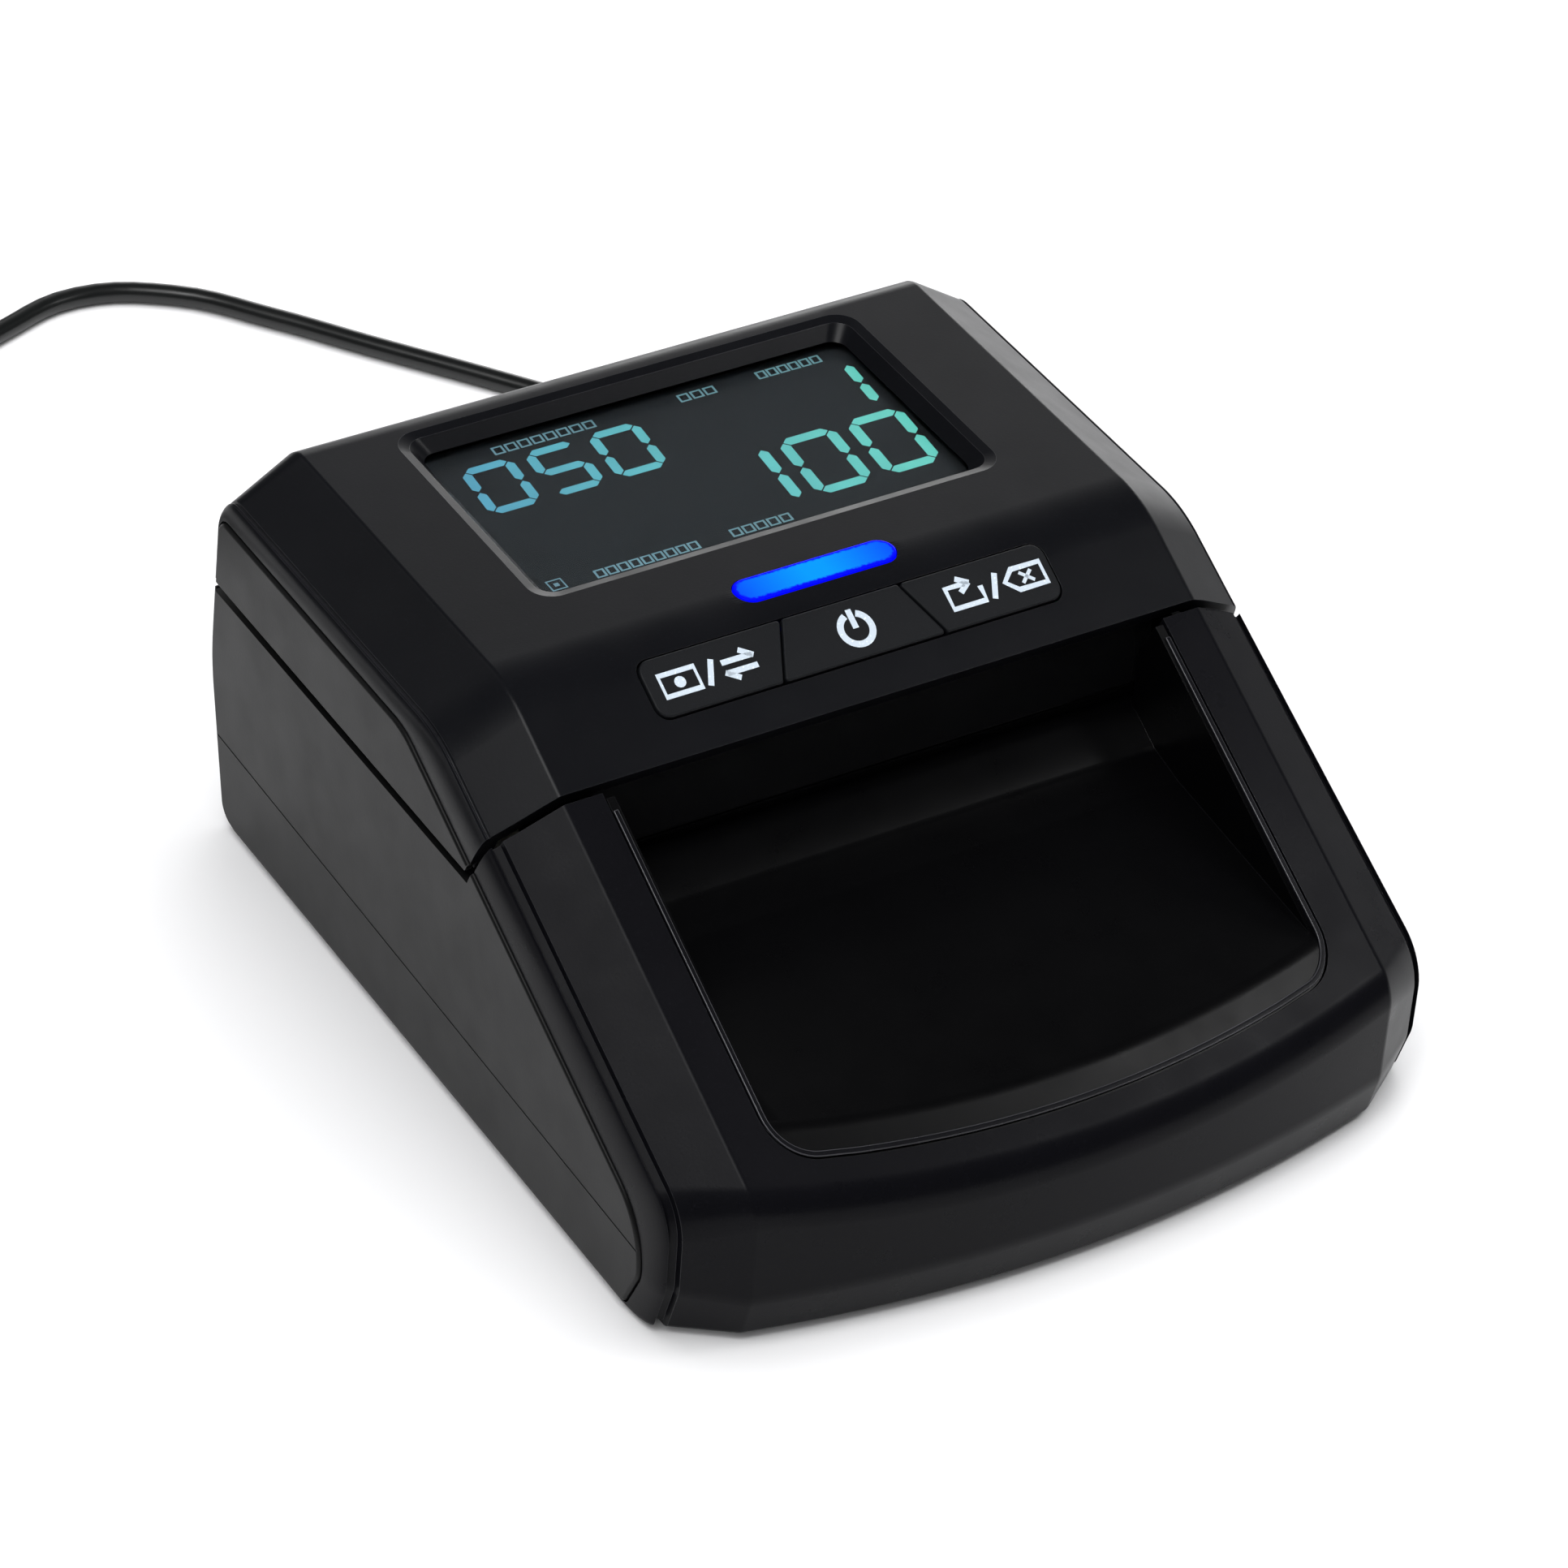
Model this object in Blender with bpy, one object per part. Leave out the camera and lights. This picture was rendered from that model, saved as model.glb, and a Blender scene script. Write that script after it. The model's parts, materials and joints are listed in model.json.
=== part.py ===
"""Counterfeit bill detector: a desktop note checker with a hinged lid over a motor driven note path.

Frame: origin on the table under the middle of the casing, +X to the right, +Y to the rear, +Z up.
All sizes below are in millimetres and become metres where a mesh is made.
"""
import math

import bmesh
import bpy
from mathutils import Matrix, Vector

MM = 0.001
GAP = 0.3           # clearance between neighbouring pieces
FINE_GAP = 0.25     # clearance round a key
STEP = 0.001        # what keeps the two rings of a square shoulder apart

# Casing.
DEPTH = 135.5
REAR = DEPTH / 2
RIDGE_X = 48.2      # where the top ends and the chamfer starts
SHOULDER_X = 57.0   # where the chamfer ends and the edge strip starts
FLANK_X = 58.6      # the flat side
TOP_Z = 60.0
SLOPE = 0.5475      # rise per run of the sloping front
SLOPE_ANGLE = math.atan(SLOPE)
CHIN_Y = -61.7      # the front face at the ridge lines
CHIN_BOW = CHIN_Y + DEPTH / 2
SKIRT_Z = 1.0       # underside of the casing walls
BACK_Y = REAR + 0.16  # the rear wall's swell, before its fillet
WALL = 2.2

# Corners of the casing's side view, as (y, z, fillet radius), from the top rear corner forwards.
RIDGE = [(66.0, TOP_Z, 5), (5.1, TOP_Z, 20), (CHIN_Y, 23.4, 6), (CHIN_Y, 8, 8),
         (-59.8, SKIRT_Z, 1.2), (64, SKIRT_Z, 4), (BACK_Y, 26, 40)]
SHOULDER = [(66.0, 54, 4), (7.0, 54, 20), (-56.1, 21, 8), (-56.1, 9, 6),
            (-53.6, SKIRT_Z, 1.2), (64, SKIRT_Z, 4), (BACK_Y, 26, 40)]
FLANK = [(66.0, 51.3, 3), (13.4, 51.3, 12), (-52.0, 16.7, 12), (-52.0, 8, 5),
         (-48.6, SKIRT_Z, 1.5), (64, SKIRT_Z, 4), (BACK_Y, 26, 40)]

# The joint between lid and base: a level seam along the sides, then up the slope's normal.
LID_FRONT = (-9.5, 52.2)
SEAM_LEAN = 0.443   # how far the front edge moves to the rear per millimetre down
LID_SEAM_Z = 39.85
BASE_SEAM_Z = 38.4
FRONT_GAP = 1.4
SIDE_PANEL_X = 57.3  # floor of the shallow recess that holds a side panel
FAR = 80.0          # beyond the casing, for cutting tools
BELOW = -6.0        # below the table, for cutting tools

# Tray.
OPENING_X = 42.7
LIP_Y = -62.3       # front edge of the tray opening on the centre line
LIP_CORNER = 7.0
TRAY_WALL = 1.2
TRAY_SINK = 0.5     # how far the tray's rim lies below the casing's surface
TRAY_FLOOR = [(-5.5, 36.0), (-9.0, 35.4), (-14.0, 32.6), (-20.0, 31.2), (-53.3, 27.9)]
FLOOR_THICK = 1.8
TRAY_RUN_OUT = 12.0  # how far the floor's last slope carries on past the lip
TRAY_WALL_SINK = 0.9  # how far the side walls' lower edge lies below the floor
SLOT_FACE_Y = -7.5  # glossy face above the slot

# Bottom cover, its screws and the feet.
COVER_Z = (1.2, 2.8)
COVER_X = 54.7
COVER_REAR = 61.0
COVER_SHOULDER_Y = -50.0
COVER_BOW_X = 46.0
BOSS_X = 52.0
BOSS_Y = (-38.0, 58.0)
BOSS_R = 3.6
BOSS_Z = (3.2, 16.0)
SCREW_HOLE_R = 1.5
SCREW_HEAD_R = 2.6
SCREW_R = 1.2
SCREW_Z = (0.3, 0.9, 11.0)  # head, shoulder and tip
DRIVER_SLOT = 0.7
FOOT_X = 43.0
FOOT_Y = (-42.0, 54.0)
FOOT_R = 5.0
FOOT_HIGH = 1.6

# Note path and drive.
GUIDE_TOP = 36.7
UPPER_GUIDE_LOW = 38.3
GUIDE_THICK = 1.5
GUIDE_X = 43.2
CHEEK_X = 45.5
NOTE_X = 38.0
SHAFT_Z = 29.0
FRONT_SHAFT_Y = 5.5
REAR_SHAFT_Y = 41.5
IDLER_Y = (FRONT_SHAFT_Y + REAR_SHAFT_Y) / 2
SHAFT_R = 2.0
IDLER_PIN_R = 1.5
SENSOR_X = 35.0
SENSOR_HALF_Y = 3.0
LOWER_SENSOR_LOW = 26.5
HEAD_X = 7.0
HEAD_Y = (13.0, 18.0)
LID_PARTS_TOP = 46.0
GUIDE_REACH = 52.5   # rear end of the wide part of the lower guide
GUIDE_EXIT = 64.5    # rear end of its narrow tongue
DRIVE_FRAME_LOW = 6.0
ROLLER_R = 8.4
ROLLER_X = 20.0
ROLLER_HALF = 7.0
PINCH_R = 4.0
PINCH_Z = SHAFT_Z + ROLLER_R + GAP + PINCH_R
PINCH_HALF = 5.0
GEAR_MODULE = 1.0
GEAR_TEETH = 18
PINION_TEETH = 9
GEAR_X = (-50.6, -46.6)
PINION_Z = SHAFT_Z - GEAR_MODULE * (GEAR_TEETH + PINION_TEETH) / 2
MOTOR_R = 9.5
MOTOR_X = (-42.4, -13.0)
MOTOR_NECK_R = 3.0
MOTOR_AXLE_R = 1.2
PINCH_AXLE_R = 1.2
PINCH_AXLE_X = 27.0

# Circuit board in the base.
BOARD_X = 41.5
BOARD_Y = (-2.0, 55.0)
BOARD_Z = (3.6, 5.0)
CHIP_TOP = 6.2
CHIPS = ((22, 10, 12, 12), (10, 38, 9, 6), (28, 34, 6, 9))  # middle x, middle y, wide, long

# Lid posts that carry the upper guide, and the lid's hinge.
LID_POST_X = 40.5
LID_POST_Y = (-1.0, 55.0)
LID_POST_R = 2.4
HINGE_Y = 61.8
HINGE_Z = 51.3
HINGE_PIN_R = 1.0
HINGE_HEAD_R = 2.1
HINGE_ARM_X = (51.0, 53.4)
HINGE_LUG_X = (47.6, 50.5)
HINGE_PIN_X = (47.0, 53.8)
HINGE_FOOT_Y = (44.5, 52.0)
HINGE_FOOT_Z = 6.0

# Display, light bar and keys.
DISPLAY_Y = 39.6
WINDOW_X = 32.6
WINDOW_HALF_Y = 17.5
FRAME_BEVEL = 2.3
GLASS_MARGIN = 2.0
GLASS_Z = (TOP_Z - 3.7, TOP_Z - 2.6)
PANEL_MARGIN = 1.6
PANEL_Z = (TOP_Z - 6.4, TOP_Z - 4.0)
DISPLAY_BOARD_X = 37.0
DISPLAY_BOARD_FRONT = 7.0
DISPLAY_BOARD_Z = (TOP_Z - 8.2, TOP_Z - 6.8)
LIGHT_Y = 9.2
LIGHT_HALF = 12.2
LIGHT_R = 2.4
KEY_TOP_Y = 3.0
KEY_LOW_Y = -4.5
KEY_ROW_X = 30.8
KEY_SPLIT_TOP = 8.9
KEY_SPLIT_LOW = 12.45
KEY_PROUD = 0.35
KEY_DEEP = 3.2
KEY_BOARD_X = 34.0
KEY_BOARD_THICK = 1.2

# Power lead.
JACK_X = 43.0
JACK_Z = 13.0
CORD_R = 1.6
JACK_HALF = (4.7, 5.6)
JACK_BORE_R = 3.1
PLUG_SHAFT_R = 2.75
PLUG_GRIP_R = 4.8
PLUG_END_Y = REAR + 29.0
COIL_CENTRE = (-91.2, 148.4)
COIL_R = 18.0
COIL_TURNS_WIDE = 4
COIL_LAYERS = 2
TABLE_GAP = 0.05    # what keeps the lead's lowest solids just off the table
CORD_LIE = CORD_R + TABLE_GAP
CORD_DROP = [(JACK_X, PLUG_END_Y + 0.45, JACK_Z), (42.8, 107.5, 9.8), (40.2, 120.0, 3.6)]
CORD_ON_TABLE = [(33.0, 133.3), (24.0, 145.2), (14.4, 157.6), (4.5, 170.8), (-6.3, 183.0),
                 (-20.1, 188.9), (-34.5, 185.3), (-50.5, 178.7), (-70.0, 175.6), (-97.3, 174.3)]
CORD_ROUTE = CORD_DROP + [(x, y, CORD_LIE) for x, y in CORD_ON_TABLE]
TAIL_ROUTE = [(-117.6, 147.9, 4.75), (-121.0, 137.0, 4.5), (-131.4, 127.8, 8.4), (-141.8, 120.6, 11.6),
              (-143.0, 116.4, 11.8)]
ADAPTER_Y = 115.4
ADAPTER_SIZE = (44.0, 66.0, 24.0)
ADAPTER_RELIEF = 13.0
BLADE_PITCH = 12.7
BLADE_SIZE = (1.5, 17.0, 6.4)


# ---------------------------------------------------------------- plain geometry


def fillet(before, corner, after, radius, steps):
    """The points of a round corner, or the corner itself where the radius is 0."""
    corner = Vector(corner)
    if radius <= 0:
        return [corner]
    to_before = (Vector(before) - corner).normalized()
    to_after = (Vector(after) - corner).normalized()
    half = to_before.angle(to_after) / 2
    reach = radius / math.tan(half)
    centre = corner + (to_before + to_after).normalized() * (radius / math.sin(half))
    start = corner + to_before * reach - centre
    finish = corner + to_after * reach - centre
    turn = start.angle_signed(finish)
    return [centre + Matrix.Rotation(-turn * i / steps, 2) @ start for i in range(steps + 1)]


def outline(corners, steps=5):
    """A closed 2-D outline from (u, v, radius) corners."""
    points = []
    for i, (u, v, radius) in enumerate(corners):
        before = corners[i - 1][:2]
        after = corners[(i + 1) % len(corners)][:2]
        points += fillet(before, (u, v), after, radius, steps)
    return points


def grown(points, distance):
    """A 2-D outline moved outwards by a distance, or inwards where it is negative."""
    count = len(points)
    area = sum(points[i - 1].x * points[i].y - points[i].x * points[i - 1].y for i in range(count))
    sign = 1 if area > 0 else -1
    moved = []
    for i, point in enumerate(points):
        ahead = (points[(i + 1) % count] - point).normalized()
        behind = (point - points[i - 1]).normalized()
        out = (Vector((ahead.y, -ahead.x)) + Vector((behind.y, -behind.x))).normalized() * sign
        facing = out.dot(Vector((ahead.y, -ahead.x)) * sign)
        moved.append(point + out * distance / max(facing, 0.5))
    return moved


def rounded_rect(x0, x1, y0, y1, radius, steps=4):
    return outline([(x0, y0, radius), (x1, y0, radius), (x1, y1, radius), (x0, y1, radius)], steps)


def circle(u, v, radius, count=24):
    turn = 2 * math.pi / count
    return [Vector((u + radius * math.cos(turn * i), v + radius * math.sin(turn * i)))
            for i in range(count)]


def capsule(u, v, half, radius, steps=8):
    ends = [(half - radius, -90), (radius - half, 90)]
    return [Vector((u + side + radius * math.cos(math.radians(start + 180 * i / steps)),
                    v + radius * math.sin(math.radians(start + 180 * i / steps))))
            for side, start in ends for i in range(steps + 1)]


# ---------------------------------------------------------------- solids


def new_object(name, bm):
    bmesh.ops.recalc_face_normals(bm, faces=bm.faces)
    mesh = bpy.data.meshes.new(name)
    bm.to_mesh(mesh)
    bm.free()
    obj = bpy.data.objects.new(name, mesh)
    bpy.context.scene.collection.objects.link(obj)
    return obj


def loft(sections, name="tool"):
    """A closed solid through sections, which are rings of 3-D points with the same count."""
    bm = bmesh.new()
    rings = [[bm.verts.new(Vector(p) * MM) for p in ring] for ring in sections]
    for lower, upper in zip(rings, rings[1:]):
        for i in range(len(lower)):
            bm.faces.new((lower[i - 1], lower[i], upper[i], upper[i - 1]))
    bm.faces.new(rings[0])
    bm.faces.new(rings[-1])
    return new_object(name, bm)


def place(axis, point, along):
    """A 2-D outline point and a position along the axis as a 3-D point."""
    u, v = point
    return {"X": (along, u, v), "Y": (u, along, v), "Z": (u, v, along)}[axis]


def prism(axis, points, low, high, name="tool"):
    return loft([[place(axis, p, at) for p in points] for at in (low, high)], name)


def box(x, y, z, name="tool"):
    corners = [Vector((x[0], y[0])), Vector((x[1], y[0])), Vector((x[1], y[1])), Vector((x[0], y[1]))]
    return prism("Z", corners, z[0], z[1], name)


def rod(axis, u, v, radius, low, high, count=24, name="tool"):
    return prism(axis, circle(u, v, radius, count), low, high, name)


def turned(axis, u, v, profile, count=24, name="tool"):
    """A turned solid from (position along the axis, radius) steps."""
    return loft([[place(axis, p, at) for p in circle(u, v, radius, count)] for at, radius in profile],
                name)


def ring_solid(axis, u, v, inner, outer, low, high, count=24):
    """A bush, roller or wheel rim: a rectangle turned round its axis."""
    bm = bmesh.new()
    loops = [[bm.verts.new(Vector(place(axis, p, at)) * MM) for p in circle(u, v, radius, count)]
             for radius, at in ((inner, low), (outer, low), (outer, high), (inner, high))]
    for k, loop in enumerate(loops):
        following = loops[(k + 1) % 4]
        for i in range(count):
            bm.faces.new((loop[i - 1], loop[i], following[i], following[i - 1]))
    return new_object("tool", bm)


def combine(obj, operation, *tools):
    """Applies exact Booleans to an object and removes the tools."""
    for tool in tools:
        modifier = obj.modifiers.new("Boolean", "BOOLEAN")
        modifier.operation = operation
        modifier.solver = "EXACT"
        modifier.object = tool
        bpy.context.view_layer.update()
        evaluated = obj.evaluated_get(bpy.context.evaluated_depsgraph_get())
        result = bpy.data.meshes.new_from_object(evaluated)
        obj.modifiers.clear()
        obj.data = result
        bpy.data.objects.remove(tool)
    return obj


def cut(obj, *tools):
    return combine(obj, "DIFFERENCE", *tools)


def join(obj, *tools):
    return combine(obj, "UNION", *tools)


def keep(obj, *tools):
    return combine(obj, "INTERSECT", *tools)


# ---------------------------------------------------------------- naming and finish


MATERIALS = {
    "casing_black": ((0.020, 0.020, 0.022), 0.42, 0.0),
    "panel_black": ((0.026, 0.026, 0.028), 0.48, 0.0),
    "tray_black": ((0.012, 0.012, 0.013), 0.30, 0.0),
    "guide_black": ((0.015, 0.015, 0.016), 0.22, 0.0),
    "key_black": ((0.016, 0.016, 0.017), 0.50, 0.0),
    "light_blue": ((0.01, 0.04, 0.95), 0.30, 0.0),
    "display_glass": ((0.03, 0.035, 0.04), 0.08, 0.0),
    "display_grey": ((0.035, 0.045, 0.05), 0.35, 0.0),
    "board_green": ((0.02, 0.16, 0.07), 0.55, 0.0),
    "steel": ((0.62, 0.62, 0.63), 0.30, 1.0),
    "brass": ((0.70, 0.52, 0.22), 0.35, 1.0),
    "gear_white": ((0.80, 0.79, 0.74), 0.45, 0.0),
    "rubber_black": ((0.018, 0.018, 0.018), 0.85, 0.0),
    "sensor_black": ((0.02, 0.02, 0.025), 0.35, 0.0),
    "cord_black": ((0.012, 0.012, 0.012), 0.50, 0.0),
}


def material(name):
    found = bpy.data.materials.get(name)
    if found:
        return found
    colour, roughness, metallic = MATERIALS[name]
    made = bpy.data.materials.new(name)
    made.use_nodes = True
    made.diffuse_color = (*colour, 1.0)
    shader = made.node_tree.nodes["Principled BSDF"]
    shader.inputs["Base Color"].default_value = (*colour, 1.0)
    shader.inputs["Roughness"].default_value = roughness
    shader.inputs["Metallic"].default_value = metallic
    return made


def finish(obj, name, finish_name, origin=None):
    """Names a piece, gives it its material and puts its origin where it turns or slides."""
    obj.name = name
    obj.data.name = name
    obj.data.materials.clear()
    obj.data.materials.append(material(finish_name))
    obj.data.shade_smooth()
    obj.data.set_sharp_from_angle(angle=math.radians(30))
    if origin:
        spot = Vector(origin) * MM
        obj.data.transform(Matrix.Translation(-spot))
        obj.location = spot
    return obj


# ---------------------------------------------------------------- casing


def bowed(corners, x):
    """The ridge's side view at another x: the chin swells forwards, down the line of the slope."""
    swell = CHIN_BOW * (1 - (x / RIDGE_X) ** 2)
    top, knee, nose, front, toe, heel, back = corners
    return [top, knee,
            (nose[0] - swell, nose[1] - SLOPE * swell, nose[2]),
            (front[0] - swell, front[1], front[2]),
            (toe[0] - swell, toe[1], toe[2]), heel, back]


def dropped_foot(corners, foot):
    """The same side view with its underside moved down, to leave a cavity open below."""
    top, knee, nose, front, toe, heel, back = corners
    return [top, knee, nose, front, (toe[0], foot, 0.1), (heel[0], foot, 0.1), back]


def casing_block(inset=0.0, foot=None, bow_steps=5):
    """The casing's outer block, or its cavity where inset is the wall's thickness."""
    ridge_x = RIDGE_X - 0.3 * inset
    shoulder_x = SHOULDER_X if inset == 0 else SIDE_PANEL_X - 2.0
    shoulder_inset = 0.7 * inset
    stations = [(-shoulder_x, SHOULDER, shoulder_inset)]
    for i in range(-bow_steps, bow_steps + 1):
        stations.append((ridge_x * i / bow_steps, bowed(RIDGE, RIDGE_X * i / bow_steps), inset))
    stations.append((shoulder_x, SHOULDER, shoulder_inset))
    if inset == 0:
        stations = [(-FLANK_X, FLANK, 0)] + stations + [(FLANK_X, FLANK, 0)]
    sections = []
    for x, corners, depth in stations:
        shape = dropped_foot(corners, foot) if foot is not None else corners
        sections.append([place("X", p, x) for p in grown(outline(shape), -depth)])
    return loft(sections)


def lid_region(shift=0.0, seam=LID_SEAM_Z):
    """Everything behind the lid's front edge and above the seam."""
    y, z = LID_FRONT
    ceiling = TOP_Z + 20
    corners = [(y - (ceiling - z) * SEAM_LEAN + shift, ceiling),
               (y + (z - seam) * SEAM_LEAN + shift, seam),
               (REAR + 20, seam), (REAR + 20, ceiling)]
    return prism("X", [Vector(c) for c in corners], -FAR, FAR)


def side_plate(side, inset, inner_x, outer_x):
    """A plate of the casing's side view, shrunk by an inset, at one side."""
    points = grown(outline(FLANK), -inset)
    return prism("X", points, *sorted((side * inner_x, side * outer_x)))


def tray_plan(inset=0.0):
    """The tray opening seen from above: straight sides, round corners and a bowed lip."""
    lip = [(x, LIP_Y + CHIN_BOW * (x / RIDGE_X) ** 2) for x in (-24, -12, 0, 12, 24)]
    corner_y = LIP_Y + CHIN_BOW * (OPENING_X / RIDGE_X) ** 2
    corners = [(OPENING_X, 4, 0), (-OPENING_X, 4, 0), (-OPENING_X, corner_y, LIP_CORNER)]
    corners += [(x, y, 0) for x, y in lip]
    corners += [(OPENING_X, corner_y, LIP_CORNER)]
    return grown(outline(corners), -inset)


BOSS_SPOTS = [(side * BOSS_X, y) for side in (-1, 1) for y in BOSS_Y]
FOOT_SPOTS = [(side * FOOT_X, y) for side in (-1, 1) for y in FOOT_Y]
CORNER_NAMES = ["left_front", "left_rear", "right_front", "right_rear"]


def make_base_shell():
    cavity = casing_block(inset=WALL, foot=BELOW)
    for x, y in BOSS_SPOTS:
        cut(cavity, rod("Z", x, y, BOSS_R, *BOSS_Z, 16))
    shell = cut(casing_block(), lid_region(-FRONT_GAP, BASE_SEAM_Z), cavity)
    cut(shell, prism("Z", tray_plan(), 8, TOP_Z))
    for side in (-1, 1):
        cut(shell, side_plate(side, GAP, SIDE_PANEL_X, FLANK_X + 5))
    for x, y in BOSS_SPOTS:
        cut(shell, rod("Z", x, y, SCREW_HOLE_R, -1, SCREW_Z[2] + 1, 12))
    through = (REAR - 8, REAR + 4)
    jack_x, jack_z = (half + GAP for half in JACK_HALF)
    cut(shell, box((JACK_X - jack_x, JACK_X + jack_x), through, (JACK_Z - jack_z, JACK_Z + jack_z)))
    cut(shell, box((-NOTE_X - 1, NOTE_X + 1), through, (GUIDE_TOP - 0.4, BASE_SEAM_Z + 1)))
    finish(shell, "base_shell", "casing_black")


def make_bottom_cover():
    """A flat plate inside the walls, bowed at the front like the chin."""
    front = []
    for i in range(3, -4, -1):
        x = COVER_BOW_X * i / 3
        front.append((x, CHIN_Y + 5.0 - CHIN_BOW * (1 - (x / RIDGE_X) ** 2)))
    sides = [(-COVER_X, COVER_SHOULDER_Y), (-COVER_X, COVER_REAR), (COVER_X, COVER_REAR)]
    plan = [(COVER_X, COVER_SHOULDER_Y), *front, *sides]
    cover = prism("Z", [Vector(p) for p in plan], *COVER_Z)
    for x, y in BOSS_SPOTS:
        cut(cover, rod("Z", x, y, SCREW_HOLE_R + 0.2, 0, COVER_Z[1] + 1, 12))
    for x, y in FOOT_SPOTS:
        cut(cover, rod("Z", x, y, FOOT_R + GAP, 0, FOOT_HIGH + GAP, 20))
    finish(cover, "bottom_cover", "panel_black")


def make_screws_and_feet():
    head, shoulder, tip = SCREW_Z
    for (x, y), spot in zip(BOSS_SPOTS, CORNER_NAMES):
        profile = [(head, SCREW_HEAD_R), (shoulder, SCREW_HEAD_R),
                   (shoulder + STEP, SCREW_R), (tip, SCREW_R)]
        screw = turned("Z", x, y, profile, 12)
        cut(screw, box((x - 1.7, x + 1.7), (y - DRIVER_SLOT / 2, y + DRIVER_SLOT / 2), (-1, head + 0.3)))
        finish(screw, f"bottom_screw_{spot}", "steel")
    for (x, y), spot in zip(FOOT_SPOTS, CORNER_NAMES):
        foot = turned("Z", x, y, [(0.0, FOOT_R - 0.4), (0.4, FOOT_R), (FOOT_HIGH, FOOT_R)], 20)
        finish(foot, f"rubber_foot_{spot}", "rubber_black")


def make_side_panels():
    """Flat plates let into both sides of the base and of the lid."""
    for side, label in ((-1, "left"), (1, "right")):
        lower = side_plate(side, 2 * GAP, SIDE_PANEL_X + GAP, FLANK_X + 0.1)
        cut(lower, lid_region(-FRONT_GAP, BASE_SEAM_Z))
        finish(lower, f"base_side_panel_{label}", "panel_black")
        upper = side_plate(side, 2 * GAP, SIDE_PANEL_X + GAP, FLANK_X + 0.1)
        keep(upper, lid_region())
        finish(upper, f"lid_side_panel_{label}", "panel_black")


def make_note_tray():
    """The dark channel in front of the slot: a floor that falls over the lip between two walls."""
    top = [Vector(p) for p in TRAY_FLOOR]
    end = top[-1]
    top.append(Vector((end.x - TRAY_RUN_OUT, end.y - SLOPE * TRAY_RUN_OUT)))
    under = [p - Vector((0, FLOOR_THICK)) for p in reversed(top)]
    tray = prism("X", top + under, -OPENING_X + GAP, OPENING_X - GAP)
    y, z = LID_FRONT
    reach = -FRONT_GAP - 0.2
    rim = Vector((y + reach, z + SLOPE * reach - TRAY_SINK))
    back_y = SLOT_FACE_Y - 0.4
    heel = Vector((back_y, z - (back_y - y - reach) / SEAM_LEAN))
    low_front = Vector((end.x - 3, end.y - 3 * SLOPE - TRAY_WALL_SINK))
    floor_line = [p - Vector((0, TRAY_WALL_SINK)) for p in reversed(top[:-1]) if p.x < back_y]
    wall = [rim, low_front, *floor_line, Vector((back_y, floor_line[-1].y + 1.0)), heel]
    for side in (-1, 1):
        span = sorted((side * (OPENING_X - GAP), side * (OPENING_X - GAP - TRAY_WALL)))
        join(tray, prism("X", wall, *span))
    keep(tray, prism("Z", tray_plan(GAP), 0, TOP_Z))
    finish(tray, "note_tray", "tray_black")


# ---------------------------------------------------------------- note path and drive


def gear(y, z, teeth, phase_deg, low, high, bore):
    """A spur gear about an axis along X, with straight-sided teeth and room for backlash."""
    pitch_r = GEAR_MODULE * teeth / 2
    step = 2 * math.pi / teeth
    shape = []
    for i in range(teeth):
        middle = math.radians(phase_deg) + i * step
        for offset, radius in ((-0.30, -1.05), (-0.12, 0.7), (0.12, 0.7), (0.30, -1.05)):
            angle = middle + offset * step
            r = pitch_r + radius * GEAR_MODULE
            shape.append(Vector((y + r * math.cos(angle), z + r * math.sin(angle))))
    wheel = prism("X", shape, low, high)
    if bore:
        cut(wheel, rod("X", y, z, bore, low - 1, high + 1, 16))
    return wheel


def cut_openings(plate, half_wide, half_long, through):
    """Openings in a note guide for the four rollers and for the sensor bar."""
    for y in (FRONT_SHAFT_Y, REAR_SHAFT_Y):
        for x in (-ROLLER_X, ROLLER_X):
            cut(plate, box((x - half_wide, x + half_wide), (y - half_long, y + half_long), through))
    reach_x, reach_y = SENSOR_X + 0.5, SENSOR_HALF_Y + 0.5
    cut(plate, box((-reach_x, reach_x), (IDLER_Y - reach_y, IDLER_Y + reach_y), through))


def make_lower_guide():
    """The drive's frame: a note plate on two cheeks that carry the shafts."""
    thick = (GUIDE_TOP - GUIDE_THICK, GUIDE_TOP)
    plate = box((-GUIDE_X, GUIDE_X), (-5.0, GUIDE_REACH), thick)
    join(plate, box((-NOTE_X, NOTE_X), (GUIDE_REACH - 0.5, GUIDE_EXIT), thick))
    for side in (-1, 1):
        cheek_x = sorted((side * (GUIDE_X - 0.5), side * CHEEK_X))
        cheek = box(cheek_x, (-4.0, GUIDE_REACH - 1), (DRIVE_FRAME_LOW, GUIDE_TOP))
        for y in (FRONT_SHAFT_Y, REAR_SHAFT_Y):
            cut(cheek, rod("X", y, SHAFT_Z, SHAFT_R + GAP, -FAR, FAR, 16))
        if side < 0:
            cut(cheek, rod("X", IDLER_Y, PINION_Z, MOTOR_AXLE_R + 0.4, -FAR, FAR, 16))
            join(cheek, rod("X", IDLER_Y, SHAFT_Z, IDLER_PIN_R, GEAR_X[0] - 0.6, -CHEEK_X + 0.5, 16))
        join(plate, cheek)
    cut_openings(plate, ROLLER_HALF + 0.8, 6.8, (34, 38))
    finish(plate, "lower_guide", "guide_black")


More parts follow.
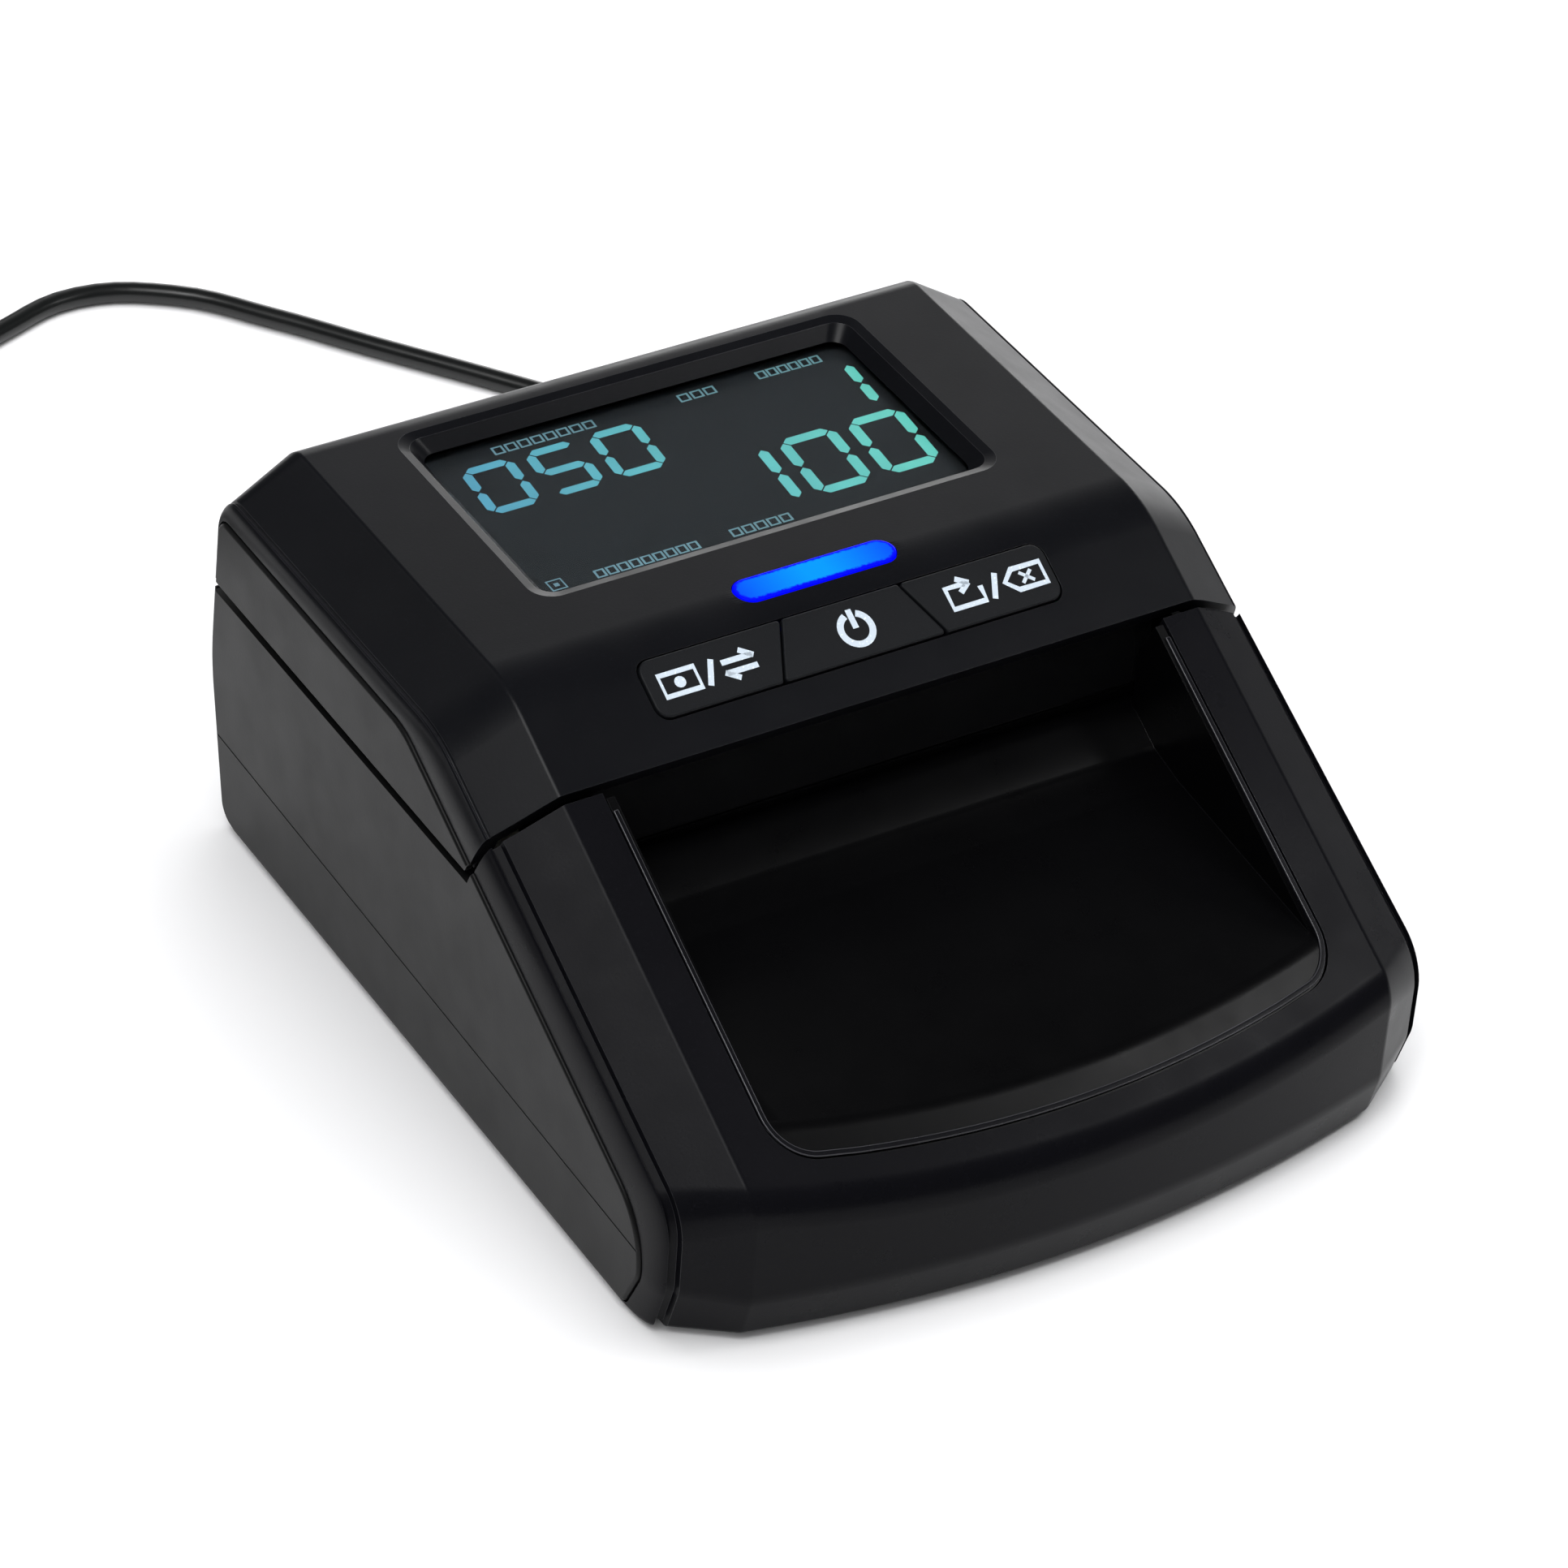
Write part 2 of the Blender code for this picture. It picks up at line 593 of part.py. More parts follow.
def make_drive():
    """Two driven shafts with rubber rollers, their gears, the idler and the motor."""
    for label, y in (("front", FRONT_SHAFT_Y), ("rear", REAR_SHAFT_Y)):
        axis = (0, y, SHAFT_Z)
        shaft = rod("X", y, SHAFT_Z, SHAFT_R - 0.02, GEAR_X[0] - 0.3, CHEEK_X + 1, 20)
        finish(shaft, f"{label}_drive_shaft", "steel", axis)
        wheel = gear(y, SHAFT_Z, GEAR_TEETH, 0, *GEAR_X, SHAFT_R + GAP)
        finish(wheel, f"{label}_drive_gear", "gear_white", axis)
        for side, hand in ((-1, "left"), (1, "right")):
            low = side * ROLLER_X - ROLLER_HALF
            roller = ring_solid("X", y, SHAFT_Z, SHAFT_R + GAP, ROLLER_R, low, low + 2 * ROLLER_HALF)
            finish(roller, f"{label}_drive_roller_{hand}", "rubber_black", axis)
    idler = gear(IDLER_Y, SHAFT_Z, GEAR_TEETH, 180 / GEAR_TEETH, *GEAR_X, IDLER_PIN_R + GAP)
    finish(idler, "idler_gear", "gear_white", (0, IDLER_Y, SHAFT_Z))
    pinion = gear(IDLER_Y, PINION_Z, PINION_TEETH, 30, *GEAR_X, 0)
    front, back = MOTOR_X
    join(pinion, rod("X", IDLER_Y, PINION_Z, MOTOR_AXLE_R, GEAR_X[0] - 0.5, front - GAP, 12))
    finish(pinion, "motor_pinion", "brass", (0, IDLER_Y, PINION_Z))
    can = [(front + 0.1, MOTOR_NECK_R), (front + 1.2, MOTOR_NECK_R), (front + 1.2 + STEP, MOTOR_R - 0.6),
           (front + 2.0, MOTOR_R), (back - 1, MOTOR_R), (back, MOTOR_R - 0.8)]
    finish(turned("X", IDLER_Y, PINION_Z, can), "drive_motor", "steel")


def sensor_bar(low, high):
    return box((-SENSOR_X, SENSOR_X), (IDLER_Y - SENSOR_HALF_Y, IDLER_Y + SENSOR_HALF_Y), (low, high))


def make_base_electronics():
    board = box((-BOARD_X, BOARD_X), BOARD_Y, BOARD_Z)
    for x, y, wide, long in CHIPS:
        chip_z = (BOARD_Z[1] - 0.4, CHIP_TOP)
        join(board, box((x - wide / 2, x + wide / 2), (y - long / 2, y + long / 2), chip_z))
    finish(board, "main_board", "board_green")
    bar = sensor_bar(LOWER_SENSOR_LOW, GUIDE_TOP - 0.3)
    finish(bar, "lower_sensor_bar", "sensor_black")
    half_x, half_z = JACK_HALF
    jack = box((JACK_X - half_x, JACK_X + half_x), (REAR - 14.5, REAR - 1.0),
               (JACK_Z - half_z, JACK_Z + half_z))
    cut(jack, rod("Y", JACK_X, JACK_Z, JACK_BORE_R, REAR - 12, REAR + 2, 20))
    finish(jack, "power_jack", "sensor_black")


# ---------------------------------------------------------------- lid


def slope_point(y, proud=0.0):
    """A point (y, z) on the sloping front, or above it by proud along its normal."""
    z = LID_FRONT[1] + SLOPE * (y - LID_FRONT[0]) - 0.2
    return Vector((y - proud * math.sin(SLOPE_ANGLE), z + proud * math.cos(SLOPE_ANGLE)))


def key_block(corners, top, bottom, steps=4):
    """A prism through the slope, from a plan outline of (x, y, radius) corners."""
    plan = outline(corners, steps)
    rings = []
    for proud in (bottom, top):
        ring = []
        for p in plan:
            y, z = slope_point(p.y, proud)
            ring.append((p.x, y, z))
        rings.append(ring)
    return loft(rings)


def key_plans():
    """The three keys: the power key widens downwards, and its neighbours fill the row's ends."""
    split = FINE_GAP / 2
    round_end = 1.8
    left = [(-KEY_ROW_X, KEY_LOW_Y, round_end), (-KEY_SPLIT_LOW - split, KEY_LOW_Y, 0.2),
            (-KEY_SPLIT_TOP - split, KEY_TOP_Y, 0.2), (-KEY_ROW_X, KEY_TOP_Y, round_end)]
    power = [(-KEY_SPLIT_LOW + split, KEY_LOW_Y, 0.2), (KEY_SPLIT_LOW - split, KEY_LOW_Y, 0.2),
             (KEY_SPLIT_TOP - split, KEY_TOP_Y, 0.2), (-KEY_SPLIT_TOP + split, KEY_TOP_Y, 0.2)]
    right = [(-x, y, r) for x, y, r in reversed(left)]
    return {"left": left, "power": power, "right": right}


def make_lid_shell():
    cavity = casing_block(inset=WALL, foot=BELOW, bow_steps=1)
    post_low = UPPER_GUIDE_LOW + GUIDE_THICK + GAP
    for side in (-1, 1):
        lug_x = sorted((side * HINGE_LUG_X[0], side * HINGE_LUG_X[1]))
        cut(cavity, box(lug_x, (HINGE_Y - 2.6, REAR), (HINGE_Z - 2.9, TOP_Z - 2)))
        for y in LID_POST_Y:
            cut(cavity, rod("Z", side * LID_POST_X, y, LID_POST_R, post_low, TOP_Z, 16))
    shell = keep(cut(casing_block(bow_steps=1), cavity), lid_region())
    for side in (-1, 1):
        cut(shell, side_plate(side, GAP, SIDE_PANEL_X, FLANK_X + 5))
        bore_x = sorted((side * HINGE_PIN_X[0], side * (HINGE_LUG_X[1] + GAP)))
        cut(shell, rod("X", HINGE_Y, HINGE_Z, HINGE_PIN_R + GAP, *bore_x, 16))
    y0, y1 = DISPLAY_Y - WINDOW_HALF_Y, DISPLAY_Y + WINDOW_HALF_Y
    inner = rounded_rect(-WINDOW_X, WINDOW_X, y0, y1, 1.6)
    outer = rounded_rect(-WINDOW_X - FRAME_BEVEL, WINDOW_X + FRAME_BEVEL, y0 - FRAME_BEVEL,
                         y1 + FRAME_BEVEL, 3.9)
    frame = [(inner, TOP_Z - 6), (inner, TOP_Z - 1.9), (outer, TOP_Z + 0.4)]
    cut(shell, loft([[place("Z", p, z) for p in ring] for ring, z in frame]))
    cut(shell, prism("Z", capsule(0, LIGHT_Y, LIGHT_HALF + GAP, LIGHT_R + GAP), 50, 70))
    row_x, row_low, row_top = KEY_ROW_X + FINE_GAP, KEY_LOW_Y - FINE_GAP, KEY_TOP_Y + FINE_GAP
    row = [(-row_x, row_low, 2), (row_x, row_low, 2), (row_x, row_top, 2), (-row_x, row_top, 2)]
    cut(shell, key_block(row, 4, -6))
    finish(shell, "lid_shell", "casing_black", (0, HINGE_Y, HINGE_Z))


def make_keys():
    axis_y, axis_z = slope_point((KEY_TOP_Y + KEY_LOW_Y) / 2)
    for name, plan in key_plans().items():
        middle_x = sum(corner[0] for corner in plan) / len(plan)
        key = key_block(plan, KEY_PROUD, -KEY_DEEP)
        finish(key, f"key_{name}", "key_black", (middle_x, axis_y, axis_z))
    low, high = KEY_LOW_Y + 0.5, KEY_TOP_Y + 1.0
    plan = [(-KEY_BOARD_X, low, 0), (KEY_BOARD_X, low, 0), (KEY_BOARD_X, high, 0), (-KEY_BOARD_X, high, 0)]
    top = -KEY_DEEP - 1.2
    finish(key_block(plan, top, top - KEY_BOARD_THICK), "key_board", "board_green")


def make_upper_guide():
    """The lid's lower half of the note path, with the glossy face above the slot."""
    low, high = UPPER_GUIDE_LOW, UPPER_GUIDE_LOW + GUIDE_THICK
    face_y = SLOT_FACE_Y
    side_view = [(face_y, 49.2, 0), (face_y, low + 0.9, 0.8), (face_y + 1.4, low, 0.8), (56, low, 0),
                 (56, high, 0), (face_y + 1.7, high, 0.5), (face_y + 1.7, 49.8, 0)]
    guide = prism("X", outline(side_view, 3), -GUIDE_X, GUIDE_X)
    through = (37, 41)
    cut_openings(guide, PINCH_HALF + 0.8, PINCH_R + 0.4, through)
    cut(guide, box((-HEAD_X - 0.5, HEAD_X + 0.5), (HEAD_Y[0] - 0.5, HEAD_Y[1] + 0.5), through))
    finish(guide, "upper_guide", "guide_black")


def make_lid_contents():
    head = box((-HEAD_X, HEAD_X), HEAD_Y, (UPPER_GUIDE_LOW - 0.1, LID_PARTS_TOP))
    finish(head, "magnetic_head", "steel")
    bar = sensor_bar(UPPER_GUIDE_LOW + 0.2, LID_PARTS_TOP)
    finish(bar, "upper_sensor_bar", "sensor_black")
    y0, y1 = DISPLAY_Y - WINDOW_HALF_Y, DISPLAY_Y + WINDOW_HALF_Y
    glass_x = WINDOW_X + GLASS_MARGIN
    glass = rounded_rect(-glass_x, glass_x, y0 - GLASS_MARGIN, y1 + GLASS_MARGIN, 2)
    finish(prism("Z", glass, *GLASS_Z), "display_window", "display_glass")
    panel_x = WINDOW_X + PANEL_MARGIN
    panel = box((-panel_x, panel_x), (y0 - PANEL_MARGIN, y1 + PANEL_MARGIN), PANEL_Z)
    finish(panel, "display_panel", "display_grey")
    board = box((-DISPLAY_BOARD_X, DISPLAY_BOARD_X), (DISPLAY_BOARD_FRONT, y1 + PANEL_MARGIN),
                DISPLAY_BOARD_Z)
    finish(board, "display_board", "board_green")
    light = prism("Z", capsule(0, LIGHT_Y, LIGHT_HALF, LIGHT_R), TOP_Z - 6.2, TOP_Z + 0.25)
    finish(light, "light_bar", "light_blue")


def make_pinch_rollers():
    for label, y in (("front", FRONT_SHAFT_Y), ("rear", REAR_SHAFT_Y)):
        axis = (0, y, PINCH_Z)
        axle = rod("X", y, PINCH_Z, PINCH_AXLE_R, -PINCH_AXLE_X, PINCH_AXLE_X, 12)
        finish(axle, f"{label}_pinch_axle", "steel", axis)
        for side, hand in ((-1, "left"), (1, "right")):
            low = side * ROLLER_X - PINCH_HALF
            high = low + 2 * PINCH_HALF
            roller = ring_solid("X", y, PINCH_Z, PINCH_AXLE_R + GAP, PINCH_R, low, high, 20)
            finish(roller, f"{label}_pinch_roller_{hand}", "rubber_black", axis)


def make_hinges():
    """An arm on each side reaches over the swinging rear wall to the hinge pin."""
    head = circle(HINGE_Y, HINGE_Z, HINGE_HEAD_R, 16)
    front, back = HINGE_FOOT_Y
    foot = [Vector(p) for p in ((front, HINGE_FOOT_Z), (back, HINGE_FOOT_Z), (back, HINGE_Z - 7.3))]
    arm_shape = [*foot, *head[11:], *head[:7], Vector((front, HINGE_Z - 4.8))]
    for side, label in ((-1, "left"), (1, "right")):
        arm = prism("X", arm_shape, *sorted((side * HINGE_ARM_X[0], side * HINGE_ARM_X[1])))
        cut(arm, rod("X", HINGE_Y, HINGE_Z, HINGE_PIN_R + GAP, -FAR, FAR, 16))
        finish(arm, f"hinge_arm_{label}", "steel")
        pin_x = sorted((side * HINGE_PIN_X[0], side * HINGE_PIN_X[1]))
        pin = rod("X", HINGE_Y, HINGE_Z, HINGE_PIN_R, *pin_x, 16)
        finish(pin, f"hinge_pin_{label}", "steel", (0, HINGE_Y, HINGE_Z))


# ---------------------------------------------------------------- power lead


def smooth_route(points, spacing):
    """Points about a spacing apart on the smooth curve through a route's own points."""
    route = [Vector(p) for p in points]
    ends = [2 * route[0] - route[1], *route, 2 * route[-1] - route[-2]]
    sampled = []
    for a, b, c, d in zip(ends, ends[1:], ends[2:], ends[3:]):
        steps = max(1, round((c - b).length / spacing))
        for i in range(steps):
            t = i / steps
            sampled.append(0.5 * (2 * b + (c - a) * t + (2 * a - 5 * b + 4 * c - d) * t ** 2
                                  + (3 * b - a - 3 * c + d) * t ** 3))
    sampled.append(route[-1])
    return sampled


def make_cord(name, route):
    curve = bpy.data.curves.new(name, "CURVE")
    curve.dimensions = "3D"
    curve.bevel_depth = CORD_R * MM
    curve.bevel_resolution = 2
    curve.use_fill_caps = True
    points = smooth_route(route, 5 * CORD_R)
    spline = curve.splines.new("POLY")
    spline.points.add(len(points) - 1)
    for slot, point in zip(spline.points, points):
        slot.co = (*(point * MM), 1.0)
    curve.materials.append(material("cord_black"))
    cord = bpy.data.objects.new(name, curve)
    bpy.context.scene.collection.objects.link(cord)


def make_power_lead():
    """The barrel plug in its jack, the cord, the wound part of the cord and the wall adapter."""
    face = REAR + 0.6
    profile = [(REAR - 10, PLUG_SHAFT_R), (face, PLUG_SHAFT_R),
               (face + STEP, PLUG_GRIP_R - 0.5), (face + 0.8, PLUG_GRIP_R),
               (face + 14.0, PLUG_GRIP_R - 0.2), (face + 16.0, 2 * CORD_R), (PLUG_END_Y - 0.4, CORD_R + 0.5)]
    finish(turned("Y", JACK_X, JACK_Z, profile, 20), "power_plug", "cord_black")
    make_cord("power_cord", CORD_ROUTE)
    finish(coil_ring(*COIL_CENTRE), "power_cord_coil", "cord_black")
    make_cord("power_cord_tail", TAIL_ROUTE)
    make_adapter()


def coil_ring(x, y):
    """The outer shape of the wound cord: a round-edged ring that lies on the table."""
    half_wide = COIL_TURNS_WIDE * CORD_R
    high = COIL_LAYERS * 2 * CORD_R
    inner, outer = COIL_R - half_wide, COIL_R + half_wide
    section = rounded_rect(inner, outer, TABLE_GAP, TABLE_GAP + high, CORD_R, 2)
    bm = bmesh.new()
    count = 32
    rings = []
    for i in range(count):
        angle = 2 * math.pi * i / count
        ring = [Vector((x + p.x * math.cos(angle), y + p.x * math.sin(angle), p.y)) for p in section]
        rings.append([bm.verts.new(point * MM) for point in ring])
    for i in range(count):
        for k in range(len(section)):
            bm.faces.new((rings[i - 1][k - 1], rings[i - 1][k], rings[i][k], rings[i][k - 1]))
    return new_object("tool", bm)


def make_adapter():
    """The wall adapter lies on its side, with its two blades pointing away from the lead."""
    wide, long, tall = ADAPTER_SIZE
    x, _, z = TAIL_ROUTE[-1]
    body_y = ADAPTER_Y - ADAPTER_RELIEF
    plug_y = body_y - long
    body = prism("Z", rounded_rect(x - wide / 2, x + wide / 2, plug_y, body_y, 5), TABLE_GAP, tall)
    boot = turned("Y", x, z, [(body_y - 1, 3.6), (body_y + 2, 3.4), (ADAPTER_Y, CORD_R + 0.5)], 16)
    join(body, boot)
    thick, reach, high = BLADE_SIZE
    for side in (-1, 1):
        blade_x = x + side * BLADE_PITCH / 2
        blade = box((blade_x - thick / 2, blade_x + thick / 2), (plug_y - reach, plug_y + 1),
                    (z - high / 2, z + high / 2))
        join(body, blade)
    finish(body, "wall_adapter", "cord_black")


# ---------------------------------------------------------------- build


def main():
    for old in list(bpy.data.objects):
        bpy.data.objects.remove(old)
    make_base_shell()
    make_bottom_cover()
    make_screws_and_feet()
    make_side_panels()
    make_note_tray()
    make_lower_guide()
    make_drive()
    make_base_electronics()
    make_lid_shell()
    make_keys()
    make_upper_guide()
    make_lid_contents()
    make_pinch_rollers()
    make_hinges()
    make_power_lead()


main()
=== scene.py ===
import json
import math

import bmesh
import bpy
from mathutils import Matrix, Vector


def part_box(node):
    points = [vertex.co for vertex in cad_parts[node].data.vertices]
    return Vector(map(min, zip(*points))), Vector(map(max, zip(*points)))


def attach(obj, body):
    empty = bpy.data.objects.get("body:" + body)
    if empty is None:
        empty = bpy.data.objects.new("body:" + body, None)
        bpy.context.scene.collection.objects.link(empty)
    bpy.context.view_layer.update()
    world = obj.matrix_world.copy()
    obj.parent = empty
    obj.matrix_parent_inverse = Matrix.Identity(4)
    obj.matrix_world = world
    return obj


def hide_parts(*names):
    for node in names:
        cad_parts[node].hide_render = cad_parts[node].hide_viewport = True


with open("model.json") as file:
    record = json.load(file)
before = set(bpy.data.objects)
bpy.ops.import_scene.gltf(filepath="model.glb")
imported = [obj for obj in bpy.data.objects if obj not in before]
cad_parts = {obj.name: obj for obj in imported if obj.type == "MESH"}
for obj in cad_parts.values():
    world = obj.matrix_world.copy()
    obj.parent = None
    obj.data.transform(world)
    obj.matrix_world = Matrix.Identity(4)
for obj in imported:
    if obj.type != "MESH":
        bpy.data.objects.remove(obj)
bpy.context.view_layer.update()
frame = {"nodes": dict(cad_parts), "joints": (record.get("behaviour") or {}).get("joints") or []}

MM = 0.001
GAP = 0.3
FINE_GAP = 0.25
SIDES = (-1, 1)
NAMED_SIDES = ((-1, "left"), (1, "right"))


def low(node):
    """The lowest corner of a CAD node's box, in millimetres."""
    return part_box(node)[0] / MM


def high(node):
    """The highest corner of a CAD node's box, in millimetres."""
    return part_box(node)[1] / MM


# Casing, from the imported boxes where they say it.
TOP_Z = round(high("lid_shell").z, 2)
REAR = round(high("base_shell").y, 2)
PANEL_PROUD = 0.1
FLANK_X = round(high("base_side_panel_right").x, 2) - PANEL_PROUD
RIDGE_X = 48.2
SHOULDER_X = 57.0
SIDE_PANEL_X = FLANK_X - 1.3
SLOPE = 0.5475
SLOPE_ANGLE = math.atan(SLOPE)
CHIN_Y = -61.7
CHIN_BOW = CHIN_Y + REAR
SKIRT_Z = 1.0
BACK_Y = REAR + 0.16
WALL = 2.2
RIDGE = [(66.0, TOP_Z, 5), (5.1, TOP_Z, 20), (CHIN_Y, 23.4, 6), (CHIN_Y, 8, 8),
         (-59.8, SKIRT_Z, 1.2), (64, SKIRT_Z, 4), (BACK_Y, 26, 40)]
SHOULDER = [(66.0, 54, 4), (7.0, 54, 20), (-56.1, 21, 8), (-56.1, 9, 6),
            (-53.6, SKIRT_Z, 1.2), (64, SKIRT_Z, 4), (BACK_Y, 26, 40)]
FLANK = [(66.0, 51.3, 3), (13.4, 51.3, 12), (-52.0, 16.7, 12), (-52.0, 8, 5),
         (-48.6, SKIRT_Z, 1.5), (64, SKIRT_Z, 4), (BACK_Y, 26, 40)]
LID_FRONT = (-9.5, 52.2)
SEAM_LEAN = 0.443
LID_SEAM_Z = 39.85
BASE_SEAM_Z = 38.4
FRONT_GAP = 1.4
CAVITY_FOOT = -6.0
REAR_CUT = (REAR - 8.0, REAR + 4.0)
CREASE = [(-70, 11.6), (-70, 11.9), (80, 15.4), (80, 15.1)]
CREASE_DEEP = 0.08

# How far cutting tools reach past the casing, and sideways through all of it.
PAST = 20.0
ACROSS = 80.0

# Screw bosses in the base, posts and hinge lugs in the lid, and the power jack's opening.
BOSS_SPOTS = [(side * 52.0, y) for side in SIDES for y in (-38.0, 58.0)]
BOSS_R = 3.6
BOSS_Z = (3.2, 16.0)
SCREW_BORE_R = 1.5
SCREW_BORE_Z = (-1.0, 12.0)
POST_X = 40.5
POST_Y = (-1.0, 55.0)
POST_R = 2.4
LUG_X = (47.6, 50.5)
LUG_Z = (48.4, 58.0)
LUG_REACH = 2.6
PIN_BORE_X = (47.0, 50.8)
PIN_BORE_R = 1.3
JACK_X = 43.0
JACK_Z = 13.0
JACK_HALF_X = 5.0
JACK_HALF_Z = 6.0

# How finely each corner of the side view is rounded; the wide knee and the back need the most.
SIDE_STEPS = [8, 26, 12, 8, 4, 4, 14]

# The round bead between each chamfer and its side panel.
BEAD_WIDE = 1.25
BEAD_TURN = math.radians(82)
BEAD_STEPS = 8

# Width and depth of the groove inside each bead, and the width of its soft lip.
BASE_GROOVE = (1.05, 0.85)
LID_GROOVE = (0.12, 0.18)
GROOVE_LIP = 0.15

# Tray and note path.
OPENING_X = 42.7
OPENING_REAR_Y = 4.0
LIP_Y = -62.3
LIP_CORNER = 7.0
TRAY_WALL = 1.2
TRAY_SINK = 0.5
LIP_BAND = 4.4
LIP_DROP = 0.15
TRAY_FLOOR = [(-5.5, 36.0), (-9.0, 35.4), (-14.0, 32.6), (-20.0, 31.2), (-53.3, 27.9)]
TRAY_ROUNDS = [(4.0, 5), (6.0, 5), (5.0, 8)]
TRAY_SKIN = 0.9
LIP_RUN = 14.0
LIP_FALL = 1.2
FLOOR_THICK = 1.8
SLOT_FACE_Y = -7.5
NOTE_X = 38.0
HINGE = Vector(next(joint["pos_m"] for joint in frame["joints"] if joint["name"] == "lid_hinge")) / MM

# Display, light bar and keys.
DISPLAY_Y = 39.6
WINDOW_X = 32.6
WINDOW_HALF_Y = 17.5
RECESS_LEAN = 1.9
RECESS_BEVEL = 1.35
RECESS_BEVEL_DEEP = 0.38
PANEL_TOP = high("display_panel").z
LIGHT_Y = 9.2
LIGHT_HALF = 12.2
LIGHT_R = 2.4
LIGHT_GAP = 0.12
KEY_TOP_Y = 3.0
KEY_LOW_Y = -4.5
KEY_ROW_X = 30.8
KEY_SPLIT_TOP = 8.9
KEY_SPLIT_LOW = 12.45
KEY_PROUD = 0.35
KEY_DEEP = 3.2
PRINT_RISE = (-0.05, 0.02)
TOP_BEND_Y = 10.2
TOP_BEND_R = 20.0

# Where a seven-segment digit's bars start and end, as shares of its width and height.
SEGMENTS = {"a": (0, 1, 1, 1), "b": (1, 1, 1, 0.5), "c": (1, 0.5, 1, 0), "d": (0, 0, 1, 0),
            "e": (0, 0.5, 0, 0), "f": (0, 1, 0, 0.5), "g": (0, 0.5, 1, 0.5)}
DIGITS = {"0": "abcdef", "1": "bc", "5": "acdfg"}

# Power lead. Its routes on both sides of the coil are the design's own.
CORD_R = 1.6
CORD_LIE = 1.65
CORD_DROP = [(43.0, 97.2, 13.0), (42.8, 107.5, 9.8), (40.2, 120.0, 3.7), (37.0, 127.0, 2.1)]
CORD_ON_TABLE = [(33.0, 133.3), (24.0, 145.2), (14.4, 157.6), (4.5, 170.8), (-6.3, 183.0),
                 (-20.1, 188.9), (-34.5, 185.3), (-50.5, 178.7), (-70.0, 175.6), (-90.0, 174.9)]
CORD_ROUTE = CORD_DROP + [(x, y, CORD_LIE) for x, y in CORD_ON_TABLE]
TAIL_ROUTE = [(-118.3, 142.5, 4.3), (-121.0, 137.0, 4.5), (-131.4, 127.8, 8.4), (-141.8, 120.6, 11.6),
              (-143.0, 116.4, 11.8)]
COIL_CENTRE = (-91.2, 148.4)
COIL_RADII = [26.6, 22.8, 19.6, 16.4, 13.2, 13.2, 16.4, 19.6, 22.8, 26.4]
COIL_Z = (CORD_LIE, CORD_LIE + 2 * CORD_R)
TIE_ANGLE = 292.0

# Wall adapter: its two blades, their holes, and the boot round the lead.
BLADE_LONG = 17.0
BLADE_SPREAD = 6.35
BLADE_HALF_X = 0.75
BLADE_HALF_Z = 3.2
BLADE_HOLE_Y = 4.0
BLADE_HOLE_R = 1.5
BOOT_LONG = 13.0

# Camera: angles are azimuth, elevation and roll in degrees, and its place is in metres.
CAMERA_ANGLES = (-33.369, 37.325, 4.277)
CAMERA_PLACE = (-0.38496, -0.57164, 0.55689)
CAMERA_LENS = 150.09
CAMERA_SHIFT = (0.00014, -0.00415)

# Studio, in metres. Each light: name, place, size, power in watts, and whether reflections show it.
LIGHTS = [
    ("overhead", (0.25, 0.05, 1.6), (1.7, 1.7), 31, False),
    ("fill", (-1.2, -0.9, 1.1), (1.2, 1.2), 10, False),
    ("wall_right", (1.95, 2.10, 0.42), (2.0, 0.9), 22.5, True),
    ("side_right", (2.1, 0.30, 0.62), (1.3, 0.8), 1.2, True),
    ("window_right", (0.285, -0.19, 0.42), (0.10, 0.10), 0.30, True),
    ("window_rear", (-0.55, 1.00, 1.07), (0.6, 0.6), 0.55, True),
    ("rear_soft", (1.15, 1.65, 1.22), (1.5, 0.9), 2.5, True),
    ("window_left", (-0.72, -0.27, 1.50), (0.62, 0.62), 9.0, True),
]
FLOOR_HALF = 6.0


# ---- camera, light and floor


def add_to_scene(obj):
    bpy.context.scene.collection.objects.link(obj)
    return obj


def make_camera():
    """The camera looks from the front left, well above the object, and is tilted a little."""
    azimuth, elevation, roll = (math.radians(angle) for angle in CAMERA_ANGLES)
    back = Vector((math.sin(azimuth) * math.cos(elevation), -math.cos(azimuth) * math.cos(elevation),
                   math.sin(elevation)))
    right = Vector((math.cos(azimuth), math.sin(azimuth), 0))
    up = back.cross(right)
    tilted_right = right * math.cos(roll) + up * math.sin(roll)
    tilted_up = up * math.cos(roll) - right * math.sin(roll)
    data = bpy.data.cameras.new("camera")
    data.sensor_width = 36.0
    data.lens = CAMERA_LENS
    data.shift_x, data.shift_y = CAMERA_SHIFT
    data.clip_end = 50.0
    camera = add_to_scene(bpy.data.objects.new("camera", data))
    camera.matrix_world = Matrix((tilted_right, tilted_up, back)).transposed().to_4x4()
    camera.location = CAMERA_PLACE
    bpy.context.scene.camera = camera


def area_light(name, spot, size, power, glossy):
    """A rectangular light that faces the model."""
    data = bpy.data.lights.new(name, "AREA")
    data.shape = "RECTANGLE"
    data.size, data.size_y = size
    data.energy = power
    light = add_to_scene(bpy.data.objects.new(name, data))
    light.location = spot
    light.rotation_mode = "QUATERNION"
    light.rotation_quaternion = Vector(spot).to_track_quat("Z", "Y")
    light.visible_glossy = glossy


